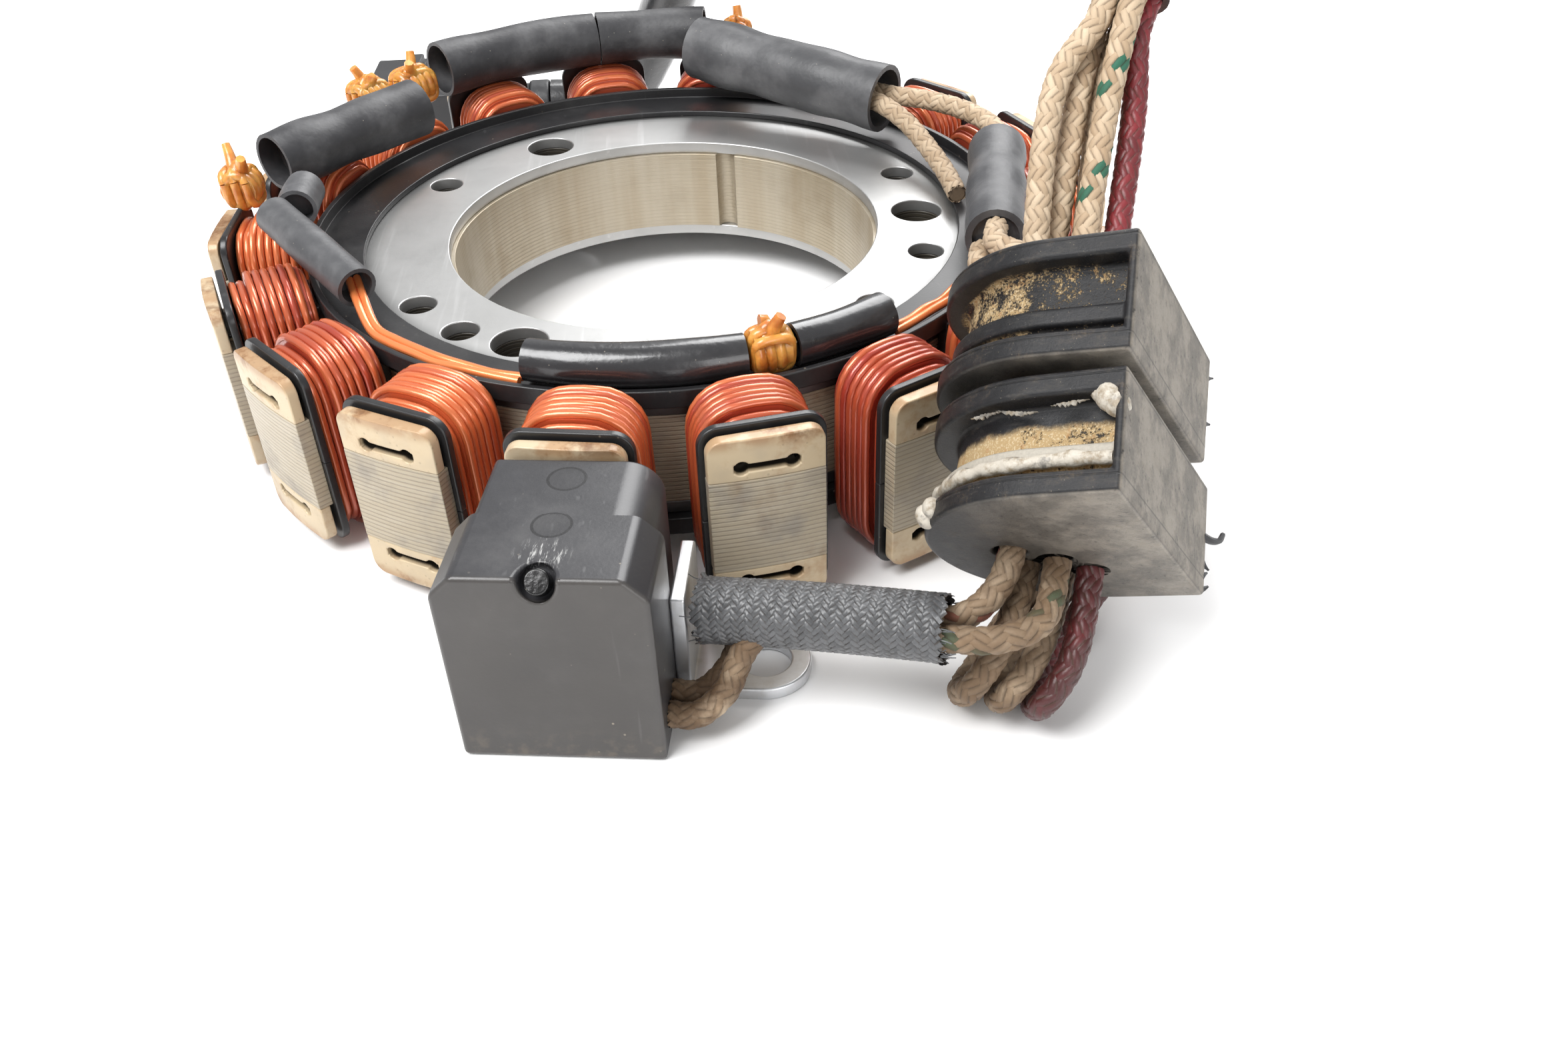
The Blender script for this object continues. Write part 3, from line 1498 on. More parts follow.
@dataclass
class LacingTie:
    """A knot of lacing cord round the wires, with cut ends."""

    node: str
    r: float
    z: float
    angle: float
    half_span: float
    lean: float
    knot_d: float = 5.4
    cord_d: float = 1.5
    ear: float = 2.9
    short_ear: float = 0.5
    seed: int = 3

    def build(self) -> bpy.types.Object:
        """Makes the knot.

        Returns:
            The piece.
        """
        rng, shape = random.Random(self.seed), Shape()
        a = math.radians(self.angle)
        centre = np.array(polar(self.r, self.angle, self.z))
        out = np.array((math.sin(a), -math.cos(a), 0.0))
        way = np.array((math.cos(a), math.sin(a), 0.0))
        up = np.array((0.0, 0.0, 1.0))
        length = 2 * math.radians(self.half_span) * self.r
        ring = (self.knot_d - self.cord_d) / 2
        wraps = max(2, round(length / (self.cord_d * 0.95)))
        knots = []
        for k in range(wraps * 10 + 1):
            t = k / (wraps * 10)
            turn = 2 * math.pi * wraps * t + 0.8
            grow = ring * (0.93 + 0.07 * rng.random())
            swing = math.cos(turn) * up + math.sin(turn) * out
            knots.append(centre + way * (t - 0.5) * (length - self.cord_d) + grow * swing)
        tube(shape, Route(knots, 0.5), self.cord_d / 2, 8)
        core = [centre + way * (t - 0.5) * (length - 1.0) for t in (0, 0.5, 1)]
        tube(shape, Route(core, 0.6), ring + self.cord_d * 0.22, 16)
        lean = math.radians(self.lean)
        for side, reach in ((1, 1.0), (-1, self.short_ear)):
            tip = up * math.cos(lean * side) + way * math.sin(-lean * side) + out * 0.25 * side
            start = centre + up * (ring * 0.8) + out * 0.6 * side
            path = [start, start + tip * (self.ear * 0.5), start + tip * self.ear * reach + way * 0.4 * side]
            tube(shape, Route(path, 0.5), lambda s: self.cord_d / 2 * (1.25 - 0.13 * s), 8)
        knot = [centre + up * ring - way * 0.9, centre + up * (ring + 0.75), centre + up * ring + way * 0.9]
        tube(shape, Route(knot, 0.4), self.cord_d * 0.55, 8)
        for aside in (-1.3, 0.1, 1.4):
            loop, top = [], ring + 0.3 * self.cord_d - abs(aside) * 0.3
            for t in np.linspace(0.3, 0.3 + 2 * math.pi, 25):
                along = self.squared(math.cos(t)) * (length / 2 - 0.45)
                lift = self.squared(math.sin(t)) * top
                loop.append(centre + way * along + up * lift + out * (aside + 0.35 * math.sin(t)))
            tube(shape, Route(loop, 0.45), self.cord_d * 0.4, 8)
        return shape.piece(self.node + "_cord", Look.LACING, self.node)

    @staticmethod
    def squared(share: float) -> float:
        """Moves a point of a circle out towards the square round it.

        Args:
            share: The point's sine or cosine.

        Returns:
            The share on the squared circle.
        """
        return math.copysign(abs(share) ** 0.5, share)


@dataclass
class Joints:
    """Sleeves, ties, crossovers and phase leads on the winding."""

    sizes: Sizes = SIZES
    slim_d: float = 5.0
    back_d: float = 8.0
    crown_r: float = 52.5
    ring_gap: float = 1.1

    def sleeves(self) -> list[Sleeve]:
        """Lists the sleeves.

        Returns:
            The sleeves.
        """
        s = self.sizes
        slim_r = s.wall_r - self.ring_gap - self.slim_d / 2
        slim_z = s.ins_top + self.slim_d / 2 + 0.1
        top, crown_z, joint_z = s.coil_top, s.coil_top + self.back_d / 2, s.coil_top + self.slim_d / 2
        arc = Sleeve.arc
        glossy, dull, grey = SleeveKind.GLOSSY, SleeveKind.DULL, SleeveKind.GREY
        mouth, far = (32.3, 23.6, 19.6), (6.3, 43.6, 21.7)
        back, front = (43.6, -1, top + 3.75), (38.4, -26, top + 3.75)
        left = (polar(47.9, -81.2, top + self.slim_d / 2 + 0.7), polar(41.6, -58.5, top))
        left_back = (polar(51, -98.5, crown_z + 0.05), polar(42.5, -126, crown_z + 0.05))
        return [
            Sleeve("front_sleeve", arc(slim_r, slim_z, -20.5, 12), self.slim_d, glossy, seed=1),
            Sleeve("front_right_sleeve", arc(slim_r, slim_z, 19.5, 36), self.slim_d, glossy, seed=2),
            Sleeve("left_sleeve", between(*left), self.slim_d, grey, seed=3),
            Sleeve("left_joint_sleeve", arc(45.6, joint_z, -92.5, -84.5), self.slim_d, grey, seed=4),
            Sleeve("left_back_sleeve", between(*left_back), self.back_d, dull, seed=5),
            Sleeve("back_left_sleeve", arc(self.crown_r, crown_z, -169, -141), self.back_d, dull, seed=6),
            Sleeve("back_sleeve", arc(self.crown_r, crown_z, 172, 190.5), self.back_d, dull, seed=7),
            Sleeve("back_right_sleeve", between(mouth, far), 9.6, grey, 0.7, 6.0, 8),
            Sleeve("lead_exit_sleeve", between(back, front), 7.4, grey, 0.8, 1.0, 9),
        ]

    def ties(self) -> list[LacingTie]:
        """Lists the lacing ties.

        Returns:
            The ties.
        """
        s = self.sizes
        low, high, crown = s.ins_top + 2.8, s.coil_top + 2.7, self.crown_r
        return [
            LacingTie("front_tie", s.wall_r - self.ring_gap - self.slim_d / 2, low, 15.75, 3.4, -12, seed=11),
            LacingTie("left_tie", 54.0, high, -93.7, 2.6, 40, ear=4.2, short_ear=0.9, seed=12),
            LacingTie("left_back_tie", crown + 0.5, high, -136, 3.4, 30, ear=3.4, short_ear=0.8, seed=13),
            LacingTie("back_left_tie", crown + 2.0, high, -128.5, 3.0, -10, seed=14),
            LacingTie("back_tie", crown + 2.5, high, 167, 2.4, 8, seed=15),
        ]

    def crossovers(self) -> None:
        """Makes the bare crossover wires, each as two wires side by side."""
        s = self.sizes
        r, z = s.wall_r - self.ring_gap - 1.0, s.ins_top + 1.1
        for node, a0, a1 in (("left_crossover", -54, -20.8), ("right_crossover", 36.3, 64)):
            shape, rng = Shape(), random.Random(node)
            for lift in (-0.46, 0.46):
                knots = [
                    polar(
                        r - lift + rng.uniform(-0.15, 0.15), a0 + (a1 - a0) * k / 7,
                        z + abs(lift) * rng.uniform(-0.4, 0.6))
                    for k in range(8)
                ]
                if node == "left_crossover":
                    top = s.coil_top
                    knots[:1] = [polar(41.2 - lift, -62, top), polar(41.8 - lift, -57.5, top - 0.9)]
                tube(shape, Route(knots, 0.8), s.wire_d / 2, 8, turn_tone=rng.random() * 0.4)
            shape.piece(node + "_wires", Look.BARE_ENAMEL, node)

    def phase_leads(self) -> None:
        """Makes the two cream leads at the back right, which the winding holds."""
        routes = {
            "inner_phase_lead": [
                (27.8, 25.2, 19.8), (31.3, 22.4, 19.5), (34.4, 18, 18.4),
                (36.8, 12, 16.8), (38.3, 5.5, 15.7), (38.8, -0.5, 15.2)],
            "outer_phase_lead": [
                (29.8, 27.6, 19.8), (33.3, 24.8, 19.7), (38, 20.6, 20.2),
                (42.4, 14.4, 20.7), (44.9, 6.6, 21), (43.66, -0.7, 21)],
        }
        for seed, (node, knots) in enumerate(routes.items()):
            shape, route = Shape(), Route(knots, 0.4)
            Braid(route, self.sizes.lead_d, seed=seed).add_to(shape)
            tube(shape, route, self.sizes.lead_d / 2 - 0.28, 10, yarn_tone=0.8, yarn_edge=0.8)
            shape.piece(node + "_braid", Look.CREAM, node)

    def build(self) -> None:
        """Makes the pieces."""
        for made in (*self.sleeves(), *self.ties()):
            made.build()
        self.crossovers()
        self.phase_leads()


def between(a: Point, b: Point) -> list[Point]:
    """Gives four points on a straight line.

    Args:
        a: Its first end.
        b: Its last end.

    Returns:
        The points.
    """
    return [tuple(p + (q - p) * k / 3 for p, q in zip(a, b)) for k in range(4)]


@dataclass
class Pickup:
    """The pulse pickup on its bracket."""

    place: Point = (-11.45, -75.6, SIZES.rest_z)
    turn: Point = (0.0, 0.0, -7.9)
    width: float = 19.8
    height: float = 22.3
    front_l: float = 9.5
    lead_z: float = 3.2

    def at(self, x: float, y: float, z: float) -> np.ndarray:
        """Gives a place on the pickup.

        Args:
            x: To the right of its middle.
            y: Back from its front face.
            z: Above its underside.

        Returns:
            The point in the shared frame.
        """
        return np.asarray(self.place) + turned((x, y, z), self.turn)

    def in_step(self, point: Vector) -> bool:
        """Tells whether a point lies in the plane between the front and the rear block.

        Args:
            point: The point, in millimetres.

        Returns:
            Whether it does.
        """
        back = np.dot(np.array(point) - np.asarray(self.place), turned((0, 1, 0), self.turn))
        return abs(back - self.front_l) < 0.08

    def lead_start(self, deep: float) -> list[np.ndarray]:
        """Gives the first points of a lead that leaves the housing.

        Args:
            deep: How far back it leaves.

        Returns:
            Two points.
        """
        x = self.width / 2 + 0.1
        return [self.at(x, deep, self.lead_z), self.at(x + 2.6, deep, self.lead_z)]

    def build(self) -> None:
        """Makes the pieces."""
        housing = rounded_copy("pickup_body", "pickup_housing", Look.HOUSING, 0.55, 4, self.in_step)
        set_local(housing, self.place, self.turn)
        pin = rounded_copy("pickup_pin_body", "pickup_pole_pin", Look.PIN, 0.2)
        set_local(pin, self.place, self.turn)
        rounded_copy("pickup_bracket_body", "pickup_bracket", Look.ZINC, 0.25)


class Lay(Enum):
    """How a cord is declared."""

    LOOSE = "loose"


@dataclass
class Grommet:
    """One of the two alike grommets."""

    node: str
    place: np.ndarray
    turn: Point
    finish: Finish
    height: float = SIZES.grommet_h
    half_w: float = 14.0
    flat_x: float = 8.2

    def at(self, x: float, y: float, z: float) -> np.ndarray:
        """Gives a place on the grommet.

        Args:
            x: Towards the flat face from the round end's centre.
            y: Across.
            z: Along the leads from the lower face.

        Returns:
            The point in the shared frame.
        """
        return np.asarray(self.place) + turned((x, y, z), self.turn)

    def build(self) -> bpy.types.Object:
        """Makes the grommet with the depth of its grooves stored for the dirt.

        Returns:
            The piece.
        """
        piece = rounded_copy(self.node + "_body", self.node, self.finish, 0.45, 4)
        local = set_local(piece, self.place, self.turn)
        across = np.where(local[:, 0] > 0, np.abs(local[:, 1]), np.hypot(local[:, 0], local[:, 1]))
        inset = np.clip(self.half_w - across, 0, 4)
        inset[local[:, 0] > self.flat_x - 0.4] = 0.0
        inset[(local[:, 2] < 2.1) | (local[:, 2] > self.height - 2.1)] = 0.0
        layer = piece.data.attributes.new("inset", "FLOAT", "POINT")
        layer.data.foreach_set("value", inset)
        return piece


@dataclass
class Harness:
    """Leads, braided sleeve, grommets, sheath and connector."""

    pickup: Pickup
    sizes: Sizes = SIZES
    lower: Grommet = field(init=False)
    upper: Grommet = field(init=False)
    sheath_knots: tuple[Point, ...] = (
        (50.5, -24.9, 47.4), (54.6, -18.2, 54.4), (57.6, -7, 61.4), (57, 7, 64.6), (50, 24, 62),
        (38, 40, 55.6), (24, 54, 46), (12, 64, 36), (5, 71, 27), (1, 77, 18), (-2.4, 82.4, 9),
        (-7, 86.8, 1.6), (-14, 88.6, -2.1), (-22, 88.6, -2.1))

    def __post_init__(self) -> None:
        base = np.array((37.3, -71.8, 11.7))
        turn = (-55.0, -19.0, -27.5)
        above = base + turned((0, -0.6, self.sizes.grommet_h + 2.0), turn)
        self.lower = Grommet("lower_grommet", base, turn, Look.RUBBER)
        self.upper = Grommet("upper_grommet", above, (-52.5, -17.0, -28.0), Look.CLEAN_RUBBER)

    def through(self, hole: tuple[float, float]) -> list[np.ndarray]:
        """Gives a lead's points through both grommets.

        Args:
            hole: The hole's place on a grommet.

        Returns:
            Four points.
        """
        h = self.sizes.grommet_h
        below = [self.lower.at(*hole, z) for z in (-1, h)]
        return below + [self.upper.at(*hole, z) for z in (0, h + 1)]

    def mouth(self, angle: float) -> list[np.ndarray]:
        """Gives a lead's last points, in the sheath's mouth.

        Args:
            angle: The lead's place round the mouth, in degrees.

        Returns:
            Two points.
        """
        start = np.array(self.sheath_knots[0], float)
        way = np.array(self.sheath_knots[1], float) - start
        way /= np.linalg.norm(way)
        side = np.cross(way, (0, 0, 1))
        side /= np.linalg.norm(side)
        up = np.cross(side, way)
        ring = (self.sizes.lead_d + 0.1) / (2 * math.sin(math.radians(36)))
        a = math.radians(angle)
        end = start + ring * (math.cos(a) * side + math.sin(a) * up) - 0.1 * way
        return [end - 4 * way, end]

    def exit(self, across: float, up: float) -> list[np.ndarray]:
        """Gives a phase lead's first points, at the exit sleeve's end.

        Args:
            across: To the side of the sleeve's axis.
            up: Above the axis.

        Returns:
            Two points.
        """
        z = self.sizes.coil_top + 3.75
        front, back = np.array((38.4, -26.0, z)), np.array((43.6, -1.0, z))
        way = (front - back) / np.linalg.norm(front - back)
        start = front + across * np.array((-way[1], way[0], 0.0)) + (0, 0, up) + 0.1 * way
        return [start, start + 4 * way]

    def routes(self) -> dict[str, list[Sequence[float]]]:
        """Gives each lead's route.

        Returns:
            Points by CAD node.
        """
        green = [
            *self.pickup.lead_start(3.2), (4.4, -72.8, -1.8), (6.2, -71, 1.2), (8.6, -70.5, 3.8),
            (16.6, -73.1, 5), (24.9, -76, 5.9), (29.5, -77.2, 6.5), (33.5, -75.8, 7),
            *self.through((-2.6, 2.2)), (47, -34, 39), *self.mouth(54)]
        red_tracer = [
            *self.pickup.lead_start(6.2), (4.8, -69.6, -1.8), (6.6, -68, 1.2), (9.4, -67.7, 3.8),
            (17.6, -70.5, 5), (25.9, -73.4, 5.9), (29, -72.9, 7.4),
            *self.through((-6.2, -0.6)), (42.1, -32.1, 41.2), *self.mouth(126)]
        cream_1 = [
            *self.exit(-1.6, -1.5), (37, -33.5, 19.4), (40.6, -38.1, 19.4), (43.8, -41.8, 16.4),
            (45.4, -43.9, 10.5), (43.6, -50.4, 3.6), (39.4, -57, -2), (34, -62.6, -4.6),
            (30, -68, -5.2), (27.4, -72.2, -4.6), (27.6, -75.2, -1.6), (30, -74.6, 2.4),
            *self.through((-6, 3)), (45, -30.5, 40), *self.mouth(198)]
        cream_2 = [
            *self.exit(0, 1.4), (40.2, -34.2, 22.6), (43.7, -38.2, 21.7), (46.9, -41.8, 17.4),
            (48.2, -44.6, 11), (46.6, -51, 3.8), (42.6, -57.6, -2), (37, -63.4, -4.6),
            (33.2, -68.6, -5.2), (30.8, -73.4, -4.6), (31, -76.2, -1.8), (33.6, -75, 1.6),
            *self.through((-3.6, 5.9)), (47.8, -29.5, 39.5), *self.mouth(270)]
        red = [
            *self.exit(1.6, -1.5), (41.2, -33.2, 19.2), (44.6, -36.4, 18.2), (48.6, -39.8, 15.4),
            (51.2, -44, 10.6), (49.8, -51.6, 4), (45.8, -58.4, -2), (40.4, -64, -4.6),
            (36.6, -69.4, -5.2), (34.2, -74.4, -4.8), (34.2, -77.4, -2), (36.6, -76.4, 1.8),
            *self.through((-0.4, 5.2)), (50.5, -32, 38), *self.mouth(-18)]
        return {
            "green_tracer_lead": green, "red_tracer_lead": red_tracer, "first_cream_lead": cream_1,
            "second_cream_lead": cream_2, "red_lead": red}

    def leads(self, grommets: list[bpy.types.Object], sleeve: bpy.types.Object) -> None:
        """Args:
            grommets: The grommets, which sit on the leads.
            sleeve: The braided sleeve on the pickup leads.
        """
        finishes = {
            "green_tracer_lead": (Look.GREEN_TRACER, (0, 1)),
            "red_tracer_lead": (Look.RED_TRACER, (0,)),
            "first_cream_lead": (Look.CREAM, ()),
            "second_cream_lead": (Look.CREAM, ()),
            "red_lead": (Look.RED, ()),
        }
        carried = {"first_cream_lead": [*grommets], "green_tracer_lead": [sleeve]}
        d = self.sizes.lead_d
        for seed, (node, knots) in enumerate(self.routes().items()):
            finish, tracers = finishes[node]
            route, shape = Route(knots, 0.42), Shape()
            gate = self.gate(route)
            from_pickup = "tracer" in node

            def soil(s: np.ndarray, gate: float = gate, dirty: bool = from_pickup) -> np.ndarray:
                near = np.clip(1 - np.abs(s - gate) / 22.0, 0, 1) * 0.75
                return np.clip(near + (np.clip(1.7 - s / 20.0, 0, 1) * 0.95 if dirty else 0.0) + 0.08, 0, 1)

            span = (26.0, 62.0 if node == "red_tracer_lead" else route.length)
            Braid(route, d, tracers=tracers, tracer_span=span, seed=20 + seed, soil=soil).add_to(shape)
            tube(shape, route, d / 2 - 0.28, 10, yarn_tone=0.8, yarn_edge=0.8)
            piece = shape.piece(node + "_cord", finish, node)
            "red_braid" if node == "red_lead" else "braid_lead"
            tuple(np.asarray(knots[0]) * MM)
            (route.centre[::2] * MM).tolist()
            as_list(carried.get(node, []))
            LOG.info("%s is %.0f mm long", node, route.length)

    def gate(self, route: Route) -> float:
        """Gives the distance along a lead at which it enters the lower grommet.

        Args:
            route: The lead's route.

        Returns:
            The distance.
        """
        reach = np.linalg.norm(route.centre - self.lower.at(-3, 3, 0), axis=1)
        return float(route.along[int(np.argmin(reach))])

    def braided_sleeve(self) -> bpy.types.Object:
        """Makes the grey braided sleeve with frayed ends.

        Returns:
            The piece.
        """
        a, b = np.array((2.4, -66.75, 3.45)), np.array((25.4, -74.7, 5.9))
        bow = np.array((0, 0, 0.25))
        knots = [a + (b - a) * t + bow * math.sin(math.pi * t) for t in np.linspace(0, 1, 6)]
        route, shape = Route(knots, 0.22), Shape()
        weave = Braid(
            route, self.sizes.braid_d, carriers=28, lay_deg=44, yarn_w=0.66, yarn_t=0.18, seed=9, fray=0.5)
        weave.add_to(shape)
        rows = len(route.along)
        inner = np.vstack([route.ring(i, self.sizes.braid_d / 2 - 0.42, 24) for i in range(3, rows - 3)])
        shape.add(inner, ring_faces(rows - 6, 24), yarn_tone=0.9, yarn_edge=0.9)
        self.stray_fibres(shape, route)
        return shape.piece("braided_sleeve_weave", Look.GREY_BRAID, "braided_sleeve")

    def stray_fibres(self, shape: Shape, route: Route) -> None:
        """Adds loose fibres at the sleeve's ends.

        Args:
            shape: The sleeve's shape.
            route: Its line.
        """
        rng = random.Random(4)
        for end, count in ((2, 16), (len(route.along) - 3, 18)):
            way = route.tangent[end] * (-1 if end < 10 else 1)
            for _ in range(count):
                a = rng.uniform(0, 2 * math.pi)
                out = math.cos(a) * route.normal[end] + math.sin(a) * route.side[end]
                start = route.centre[end] + out * (self.sizes.braid_d / 2 - 0.25)
                reach = rng.uniform(0.5, 1.5)
                bend = out * rng.uniform(-0.3, 0.5) + np.array((0, 0, rng.uniform(-0.3, 0.3)))
                path = [start, start + way * reach * 0.5 + bend * 0.3, start + way * reach + bend]
                tube(shape, Route(path, 0.3), 0.07, 4, yarn_tone=rng.random())

    def sealant(self) -> None:
        """Makes the white sealant on the lower grommet."""
        g, shape, rng = self.lower, Shape(), random.Random(8)
        rib = [g.at(13.0 * math.cos(a), 13.0 * math.sin(a), 3.45 + rng.uniform(-0.12, 0.12))
               for a in np.radians(np.linspace(185, 268, 18))]
        rib += [g.at(x, -13.0, 3.5 + rng.uniform(-0.1, 0.1)) for x in (1.5, 3.5, 5.5, 7.2)]
        tube(shape, Route(rib, 0.5), lambda s: 0.66 + 0.14 * math.sin(1.7 * s) * math.sin(0.6 * s), 10)
        lumps = (
            ((6.6, -13.0, 9.0), 1.35), ((7.0, -12.9, 8.2), 1.15), ((5.9, -12.9, 9.6), 1.0),
            ((-11.2, -8.1, 1.2), 1.2), ((-10.6, -9.1, 1.4), 1.0), ((-11.8, -7.0, 1.2), 0.9))
        for centre, size in lumps:
            self.blob(shape, g.at(*centre), size, rng)
        shape.piece("grommet_sealant", Look.SEALANT)

    @staticmethod
    def blob(shape: Shape, centre: np.ndarray, size: float, rng: random.Random) -> None:
        """Adds a lump.

        Args:
            shape: The shape.
            centre: Its middle.
            size: Its radius.
            rng: Source of chance.
        """
        waves = [(rng.uniform(0.6, 1.4), rng.uniform(0, 6), rng.uniform(0.05, 0.10)) for _ in range(3)]
        rows, sides, points = 9, 14, []
        for i in range(rows):
            lat = math.pi * (i + 0.5) / rows
            for k in range(sides):
                lon = 2 * math.pi * k / sides
                d = np.array((math.sin(lat) * math.cos(lon), math.sin(lat) * math.sin(lon), math.cos(lat)))
                grow = 1 + sum(a * math.sin(f * d[0] * 2 + p + f * d[2]) for f, p, a in waves)
                points.append(centre + d * size * grow)
        last = (rows - 1) * sides
        caps = [tuple(range(sides))[::-1], tuple(range(last, last + sides))]
        faces = ring_faces(rows, sides) + caps
        shape.add(points, faces)

    def torn_skin(self) -> None:
        """Makes the torn skin that hangs under the lower grommet's upper flange."""
        g, shape, rng = self.lower, Shape(), random.Random(33)
        for first, last in ((0.08, 0.30), (0.26, 0.52), (0.60, 0.82)):
            self.scrap(shape, g, first, last, rng)
        shape.piece("grommet_torn_skin", Look.SKIN)

    @staticmethod
    def scrap(shape: Shape, g: Grommet, first: float, last: float, rng: random.Random) -> None:
        """Adds a torn strip along the mouth of the wide groove.

        Args:
            shape: The shape.
            g: The grommet.
            first: Where it starts along the visible side.
            last: Where it ends.
            rng: Source of chance.
        """
        rows, points = 26, []
        lift, tilt = rng.uniform(-0.3, 0.2), rng.uniform(-0.9, 0.5)
        for i in range(rows):
            t = i / (rows - 1)
            along = first + (last - first) * t
            width = math.sin(math.pi * min(max(t, 0.04), 0.96)) * rng.uniform(0.25, 0.6)
            push = 0.3 * math.sin(11 * along) + rng.uniform(-0.1, 0.1)
            for drop, out in ((0.0, 0.0), (width, 0.1), (width, -0.05), (0.0, -0.15)):
                r = 13.2 + out + push
                a = math.radians(236 + 68 * along)
                place = (r * math.cos(a), r * math.sin(a)) if along < 0.5 else (15.2 * (along - 0.5), -r)
                points.append(g.at(*place, 8.7 + lift + tilt * (t - 0.5) - drop))
        caps = [tuple(range(4))[::-1], tuple((rows - 1) * 4 + k for k in range(4))]
        shape.add(points, ring_faces(rows, 4) + caps)

    def flash(self) -> None:
        """Makes the rubber flash that stands out along the flat faces."""
        shape, rng = Shape(), random.Random(21)
        curl = ((7.9, 13.4, 6.0), (8.5, 14.6, 5.9), (9.0, 15.8, 6.3), (9.2, 16.4, 7.2))
        tube(shape, Route([self.lower.at(*c) for c in curl], 0.3), lambda s: 0.45 - 0.05 * s, 6)
        nibs = [(self.upper, 4.2), (self.upper, 9.0), (self.lower, 3.6), (self.lower, 0.5), (self.lower, 1.5)]
        for g, z in nibs:
            start = g.at(7.7, 13.4, z)
            tip = g.at(8.2 + rng.uniform(0, 0.5), 14.1 + rng.uniform(0, 0.7), z + rng.uniform(-0.9, 0.9))
            bend = (start + tip) / 2 + np.array((0, 0, rng.uniform(-0.3, 0.3)))
            tube(shape, Route([start, bend, tip], 0.2), lambda s: max(0.5 - 0.3 * s, 0.12), 6)
        shape.piece("grommet_flash", Look.SEAL)

    def sheath(self) -> None:
        route, shape = Route(self.sheath_knots, 1.5), Shape()
        half = self.sizes.sheath_d / 2
        hollow_tube(shape, route, lambda s: half * (0.99 + 0.008 * math.sin(0.35 * s)), 0.7, 5.0, 28)
        piece = shape.piece("harness_sheath_tube", Look.GLOSSY_SLEEVE, "harness_sheath")
        ends = [
            rounded_copy("connector_shell_body", "connector_shell", Look.SHELL, 0.5, 3),
            rounded_copy("connector_seal_body", "connector_seal", Look.SEAL, 0.4),
            rounded_copy("connector_lock_body", "connector_lock", Look.SHELL, 0.3),
        ]
        tuple(c * MM for c in self.sheath_knots[0])
        (route.centre * MM).tolist()
        LOG.info("sheath is %.0f mm long", route.length)

    def build(self) -> None:
        """Makes the pieces."""
        grommets = [self.lower.build(), self.upper.build()]
        sleeve = self.braided_sleeve()
        self.leads(grommets, sleeve)
        self.sheath()
        self.sealant()
        self.torn_skin()
        self.flash()


# Studio


@dataclass(frozen=True)
class Lamp:
    """A soft area light aimed at the object."""

    name: str
    place: Point
    size: float
    power: float
    aim: Point = (0.0, -0.02, 0.0)

    def build(self) -> None:
        """Makes the light."""
        data = bpy.data.lights.new(self.name, "AREA")
        data.energy, data.size = self.power, self.size
        lamp = bpy.data.objects.new(self.name, data)
        bpy.context.scene.collection.objects.link(lamp)
        lamp.location = self.place
        lamp.rotation_euler = (Vector(self.aim) - Vector(self.place)).to_track_quat("-Z", "Y").to_euler()


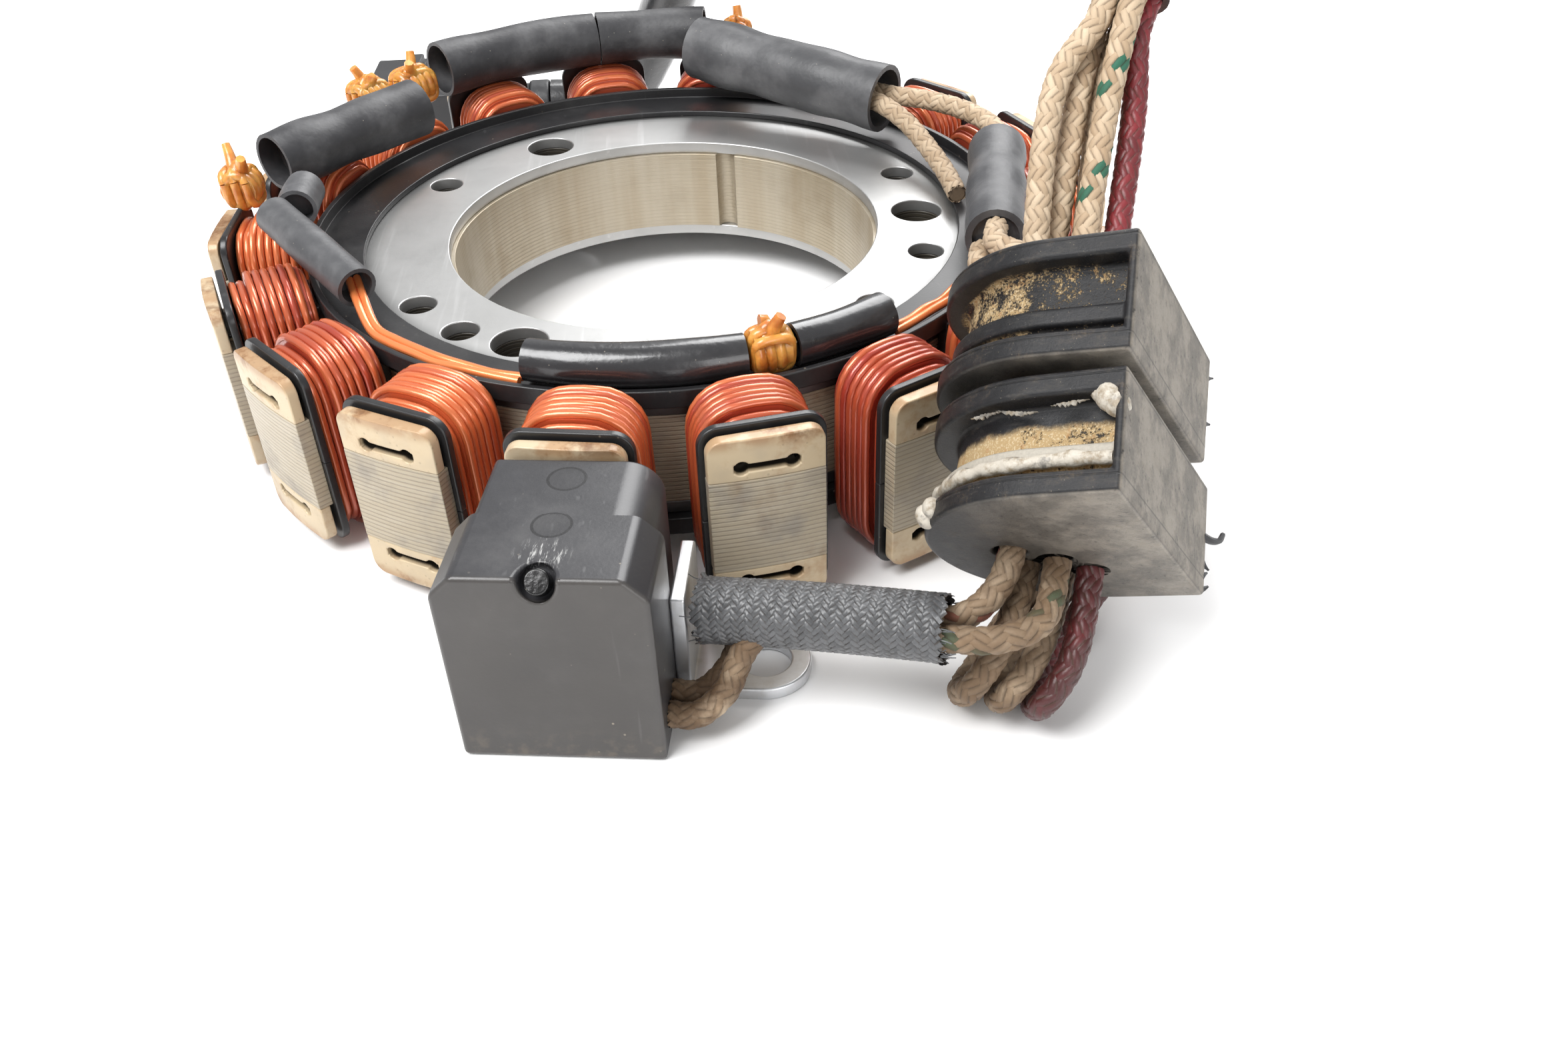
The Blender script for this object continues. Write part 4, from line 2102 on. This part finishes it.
@dataclass
class Studio:
    """Camera, floor, light and background, as in the photograph."""

    camera_place: Point = (5.26, -165.98, 89.77)
    forward: Point = (0.0443, 0.7918, -0.6092)
    up: Point = (0.0659, 0.6062, 0.7926)
    lens: float = 30.926
    ambient: float = 0.54

    def camera(self) -> None:
        """Makes the camera."""
        data = bpy.data.cameras.new("camera")
        data.lens, data.sensor_width, data.sensor_fit = self.lens, 36.0, "HORIZONTAL"
        data.clip_start, data.clip_end = 0.005, 20.0
        data.dof.use_dof = False
        camera = bpy.data.objects.new("camera", data)
        bpy.context.scene.collection.objects.link(camera)
        f = Vector(self.forward).normalized()
        r = f.cross(Vector(self.up)).normalized()
        u = r.cross(f)
        turn = Matrix((r, u, -f)).transposed()
        camera.matrix_world = Matrix.Translation(Vector(self.camera_place) * MM) @ turn.to_4x4()
        bpy.context.scene.camera = camera

    def floor(self) -> None:
        """Makes the floor that the stator stands on."""
        z = (SIZES.rest_z - 0.02) * MM
        mesh = bpy.data.meshes.new("floor")
        mesh.from_pydata([(-3, -3, z), (3, -3, z), (3, 3, z), (-3, 3, z)], [], [(0, 1, 2, 3)])
        mesh.materials.append(Look.FLOOR.material())
        plane = bpy.data.objects.new("floor", mesh)
        bpy.context.scene.collection.objects.link(plane)
        plane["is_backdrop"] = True

    def world(self) -> None:
        """Makes the white background, seen directly and in reflections, and the soft light round it."""
        world = bpy.data.worlds.new("studio")
        world.use_nodes = True
        tree = world.node_tree
        back = tree.nodes["Background"]
        rays = tree.nodes.new("ShaderNodeLightPath")
        seen = tree.nodes.new("ShaderNodeMath")
        seen.operation = "MAXIMUM"
        tree.links.new(rays.outputs["Is Camera Ray"], seen.inputs[0])
        tree.links.new(rays.outputs["Is Transmission Ray"], seen.inputs[1])
        level = tree.nodes.new("ShaderNodeMapRange")
        level.inputs["To Min"].default_value = self.ambient
        level.inputs["To Max"].default_value = 1.0
        tree.links.new(seen.outputs[0], level.inputs["Value"])
        tree.links.new(level.outputs["Result"], back.inputs["Strength"])
        back.inputs["Color"].default_value = (1, 1, 1, 1)
        bpy.context.scene.world = world

    def build(self) -> None:
        """Makes the studio."""
        self.camera()
        self.floor()
        self.world()
        for lamp in (
            Lamp("key", (-0.30, -0.22, 0.60), 0.40, 6.5),
            Lamp("back", (0.22, 0.50, 0.52), 0.50, 6.0),
            Lamp("front", (0.30, -0.62, 0.20), 0.35, 1.3),
        ):
            lamp.build()
        bpy.context.scene.view_settings.view_transform = "Standard"


def corner(box: tuple[Vector, Vector]) -> list[list[float]]:
    """Gives a box as plain numbers.

    Args:
        box: Its lowest and highest corners.

    Returns:
        The corners.
    """
    return [[round(c, 6) for c in p] for p in box]


def write_sizes() -> None:
    """Writes the CAD box and the finished box."""
    bpy.context.view_layer.update()
    sizes = {"cad_box_m": corner(CAD_BOX), "final_box_m": corner(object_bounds())}


def main() -> None:
    """Builds the scene."""
    logging.basicConfig(level=logging.INFO)
    Studio().build()
    pickup = Pickup()
    Harness(pickup).build()
    Core().build()
    Winding().build()
    Joints().build()
    pickup.build()
    write_sizes()


if __name__ == "__main__":
    main()
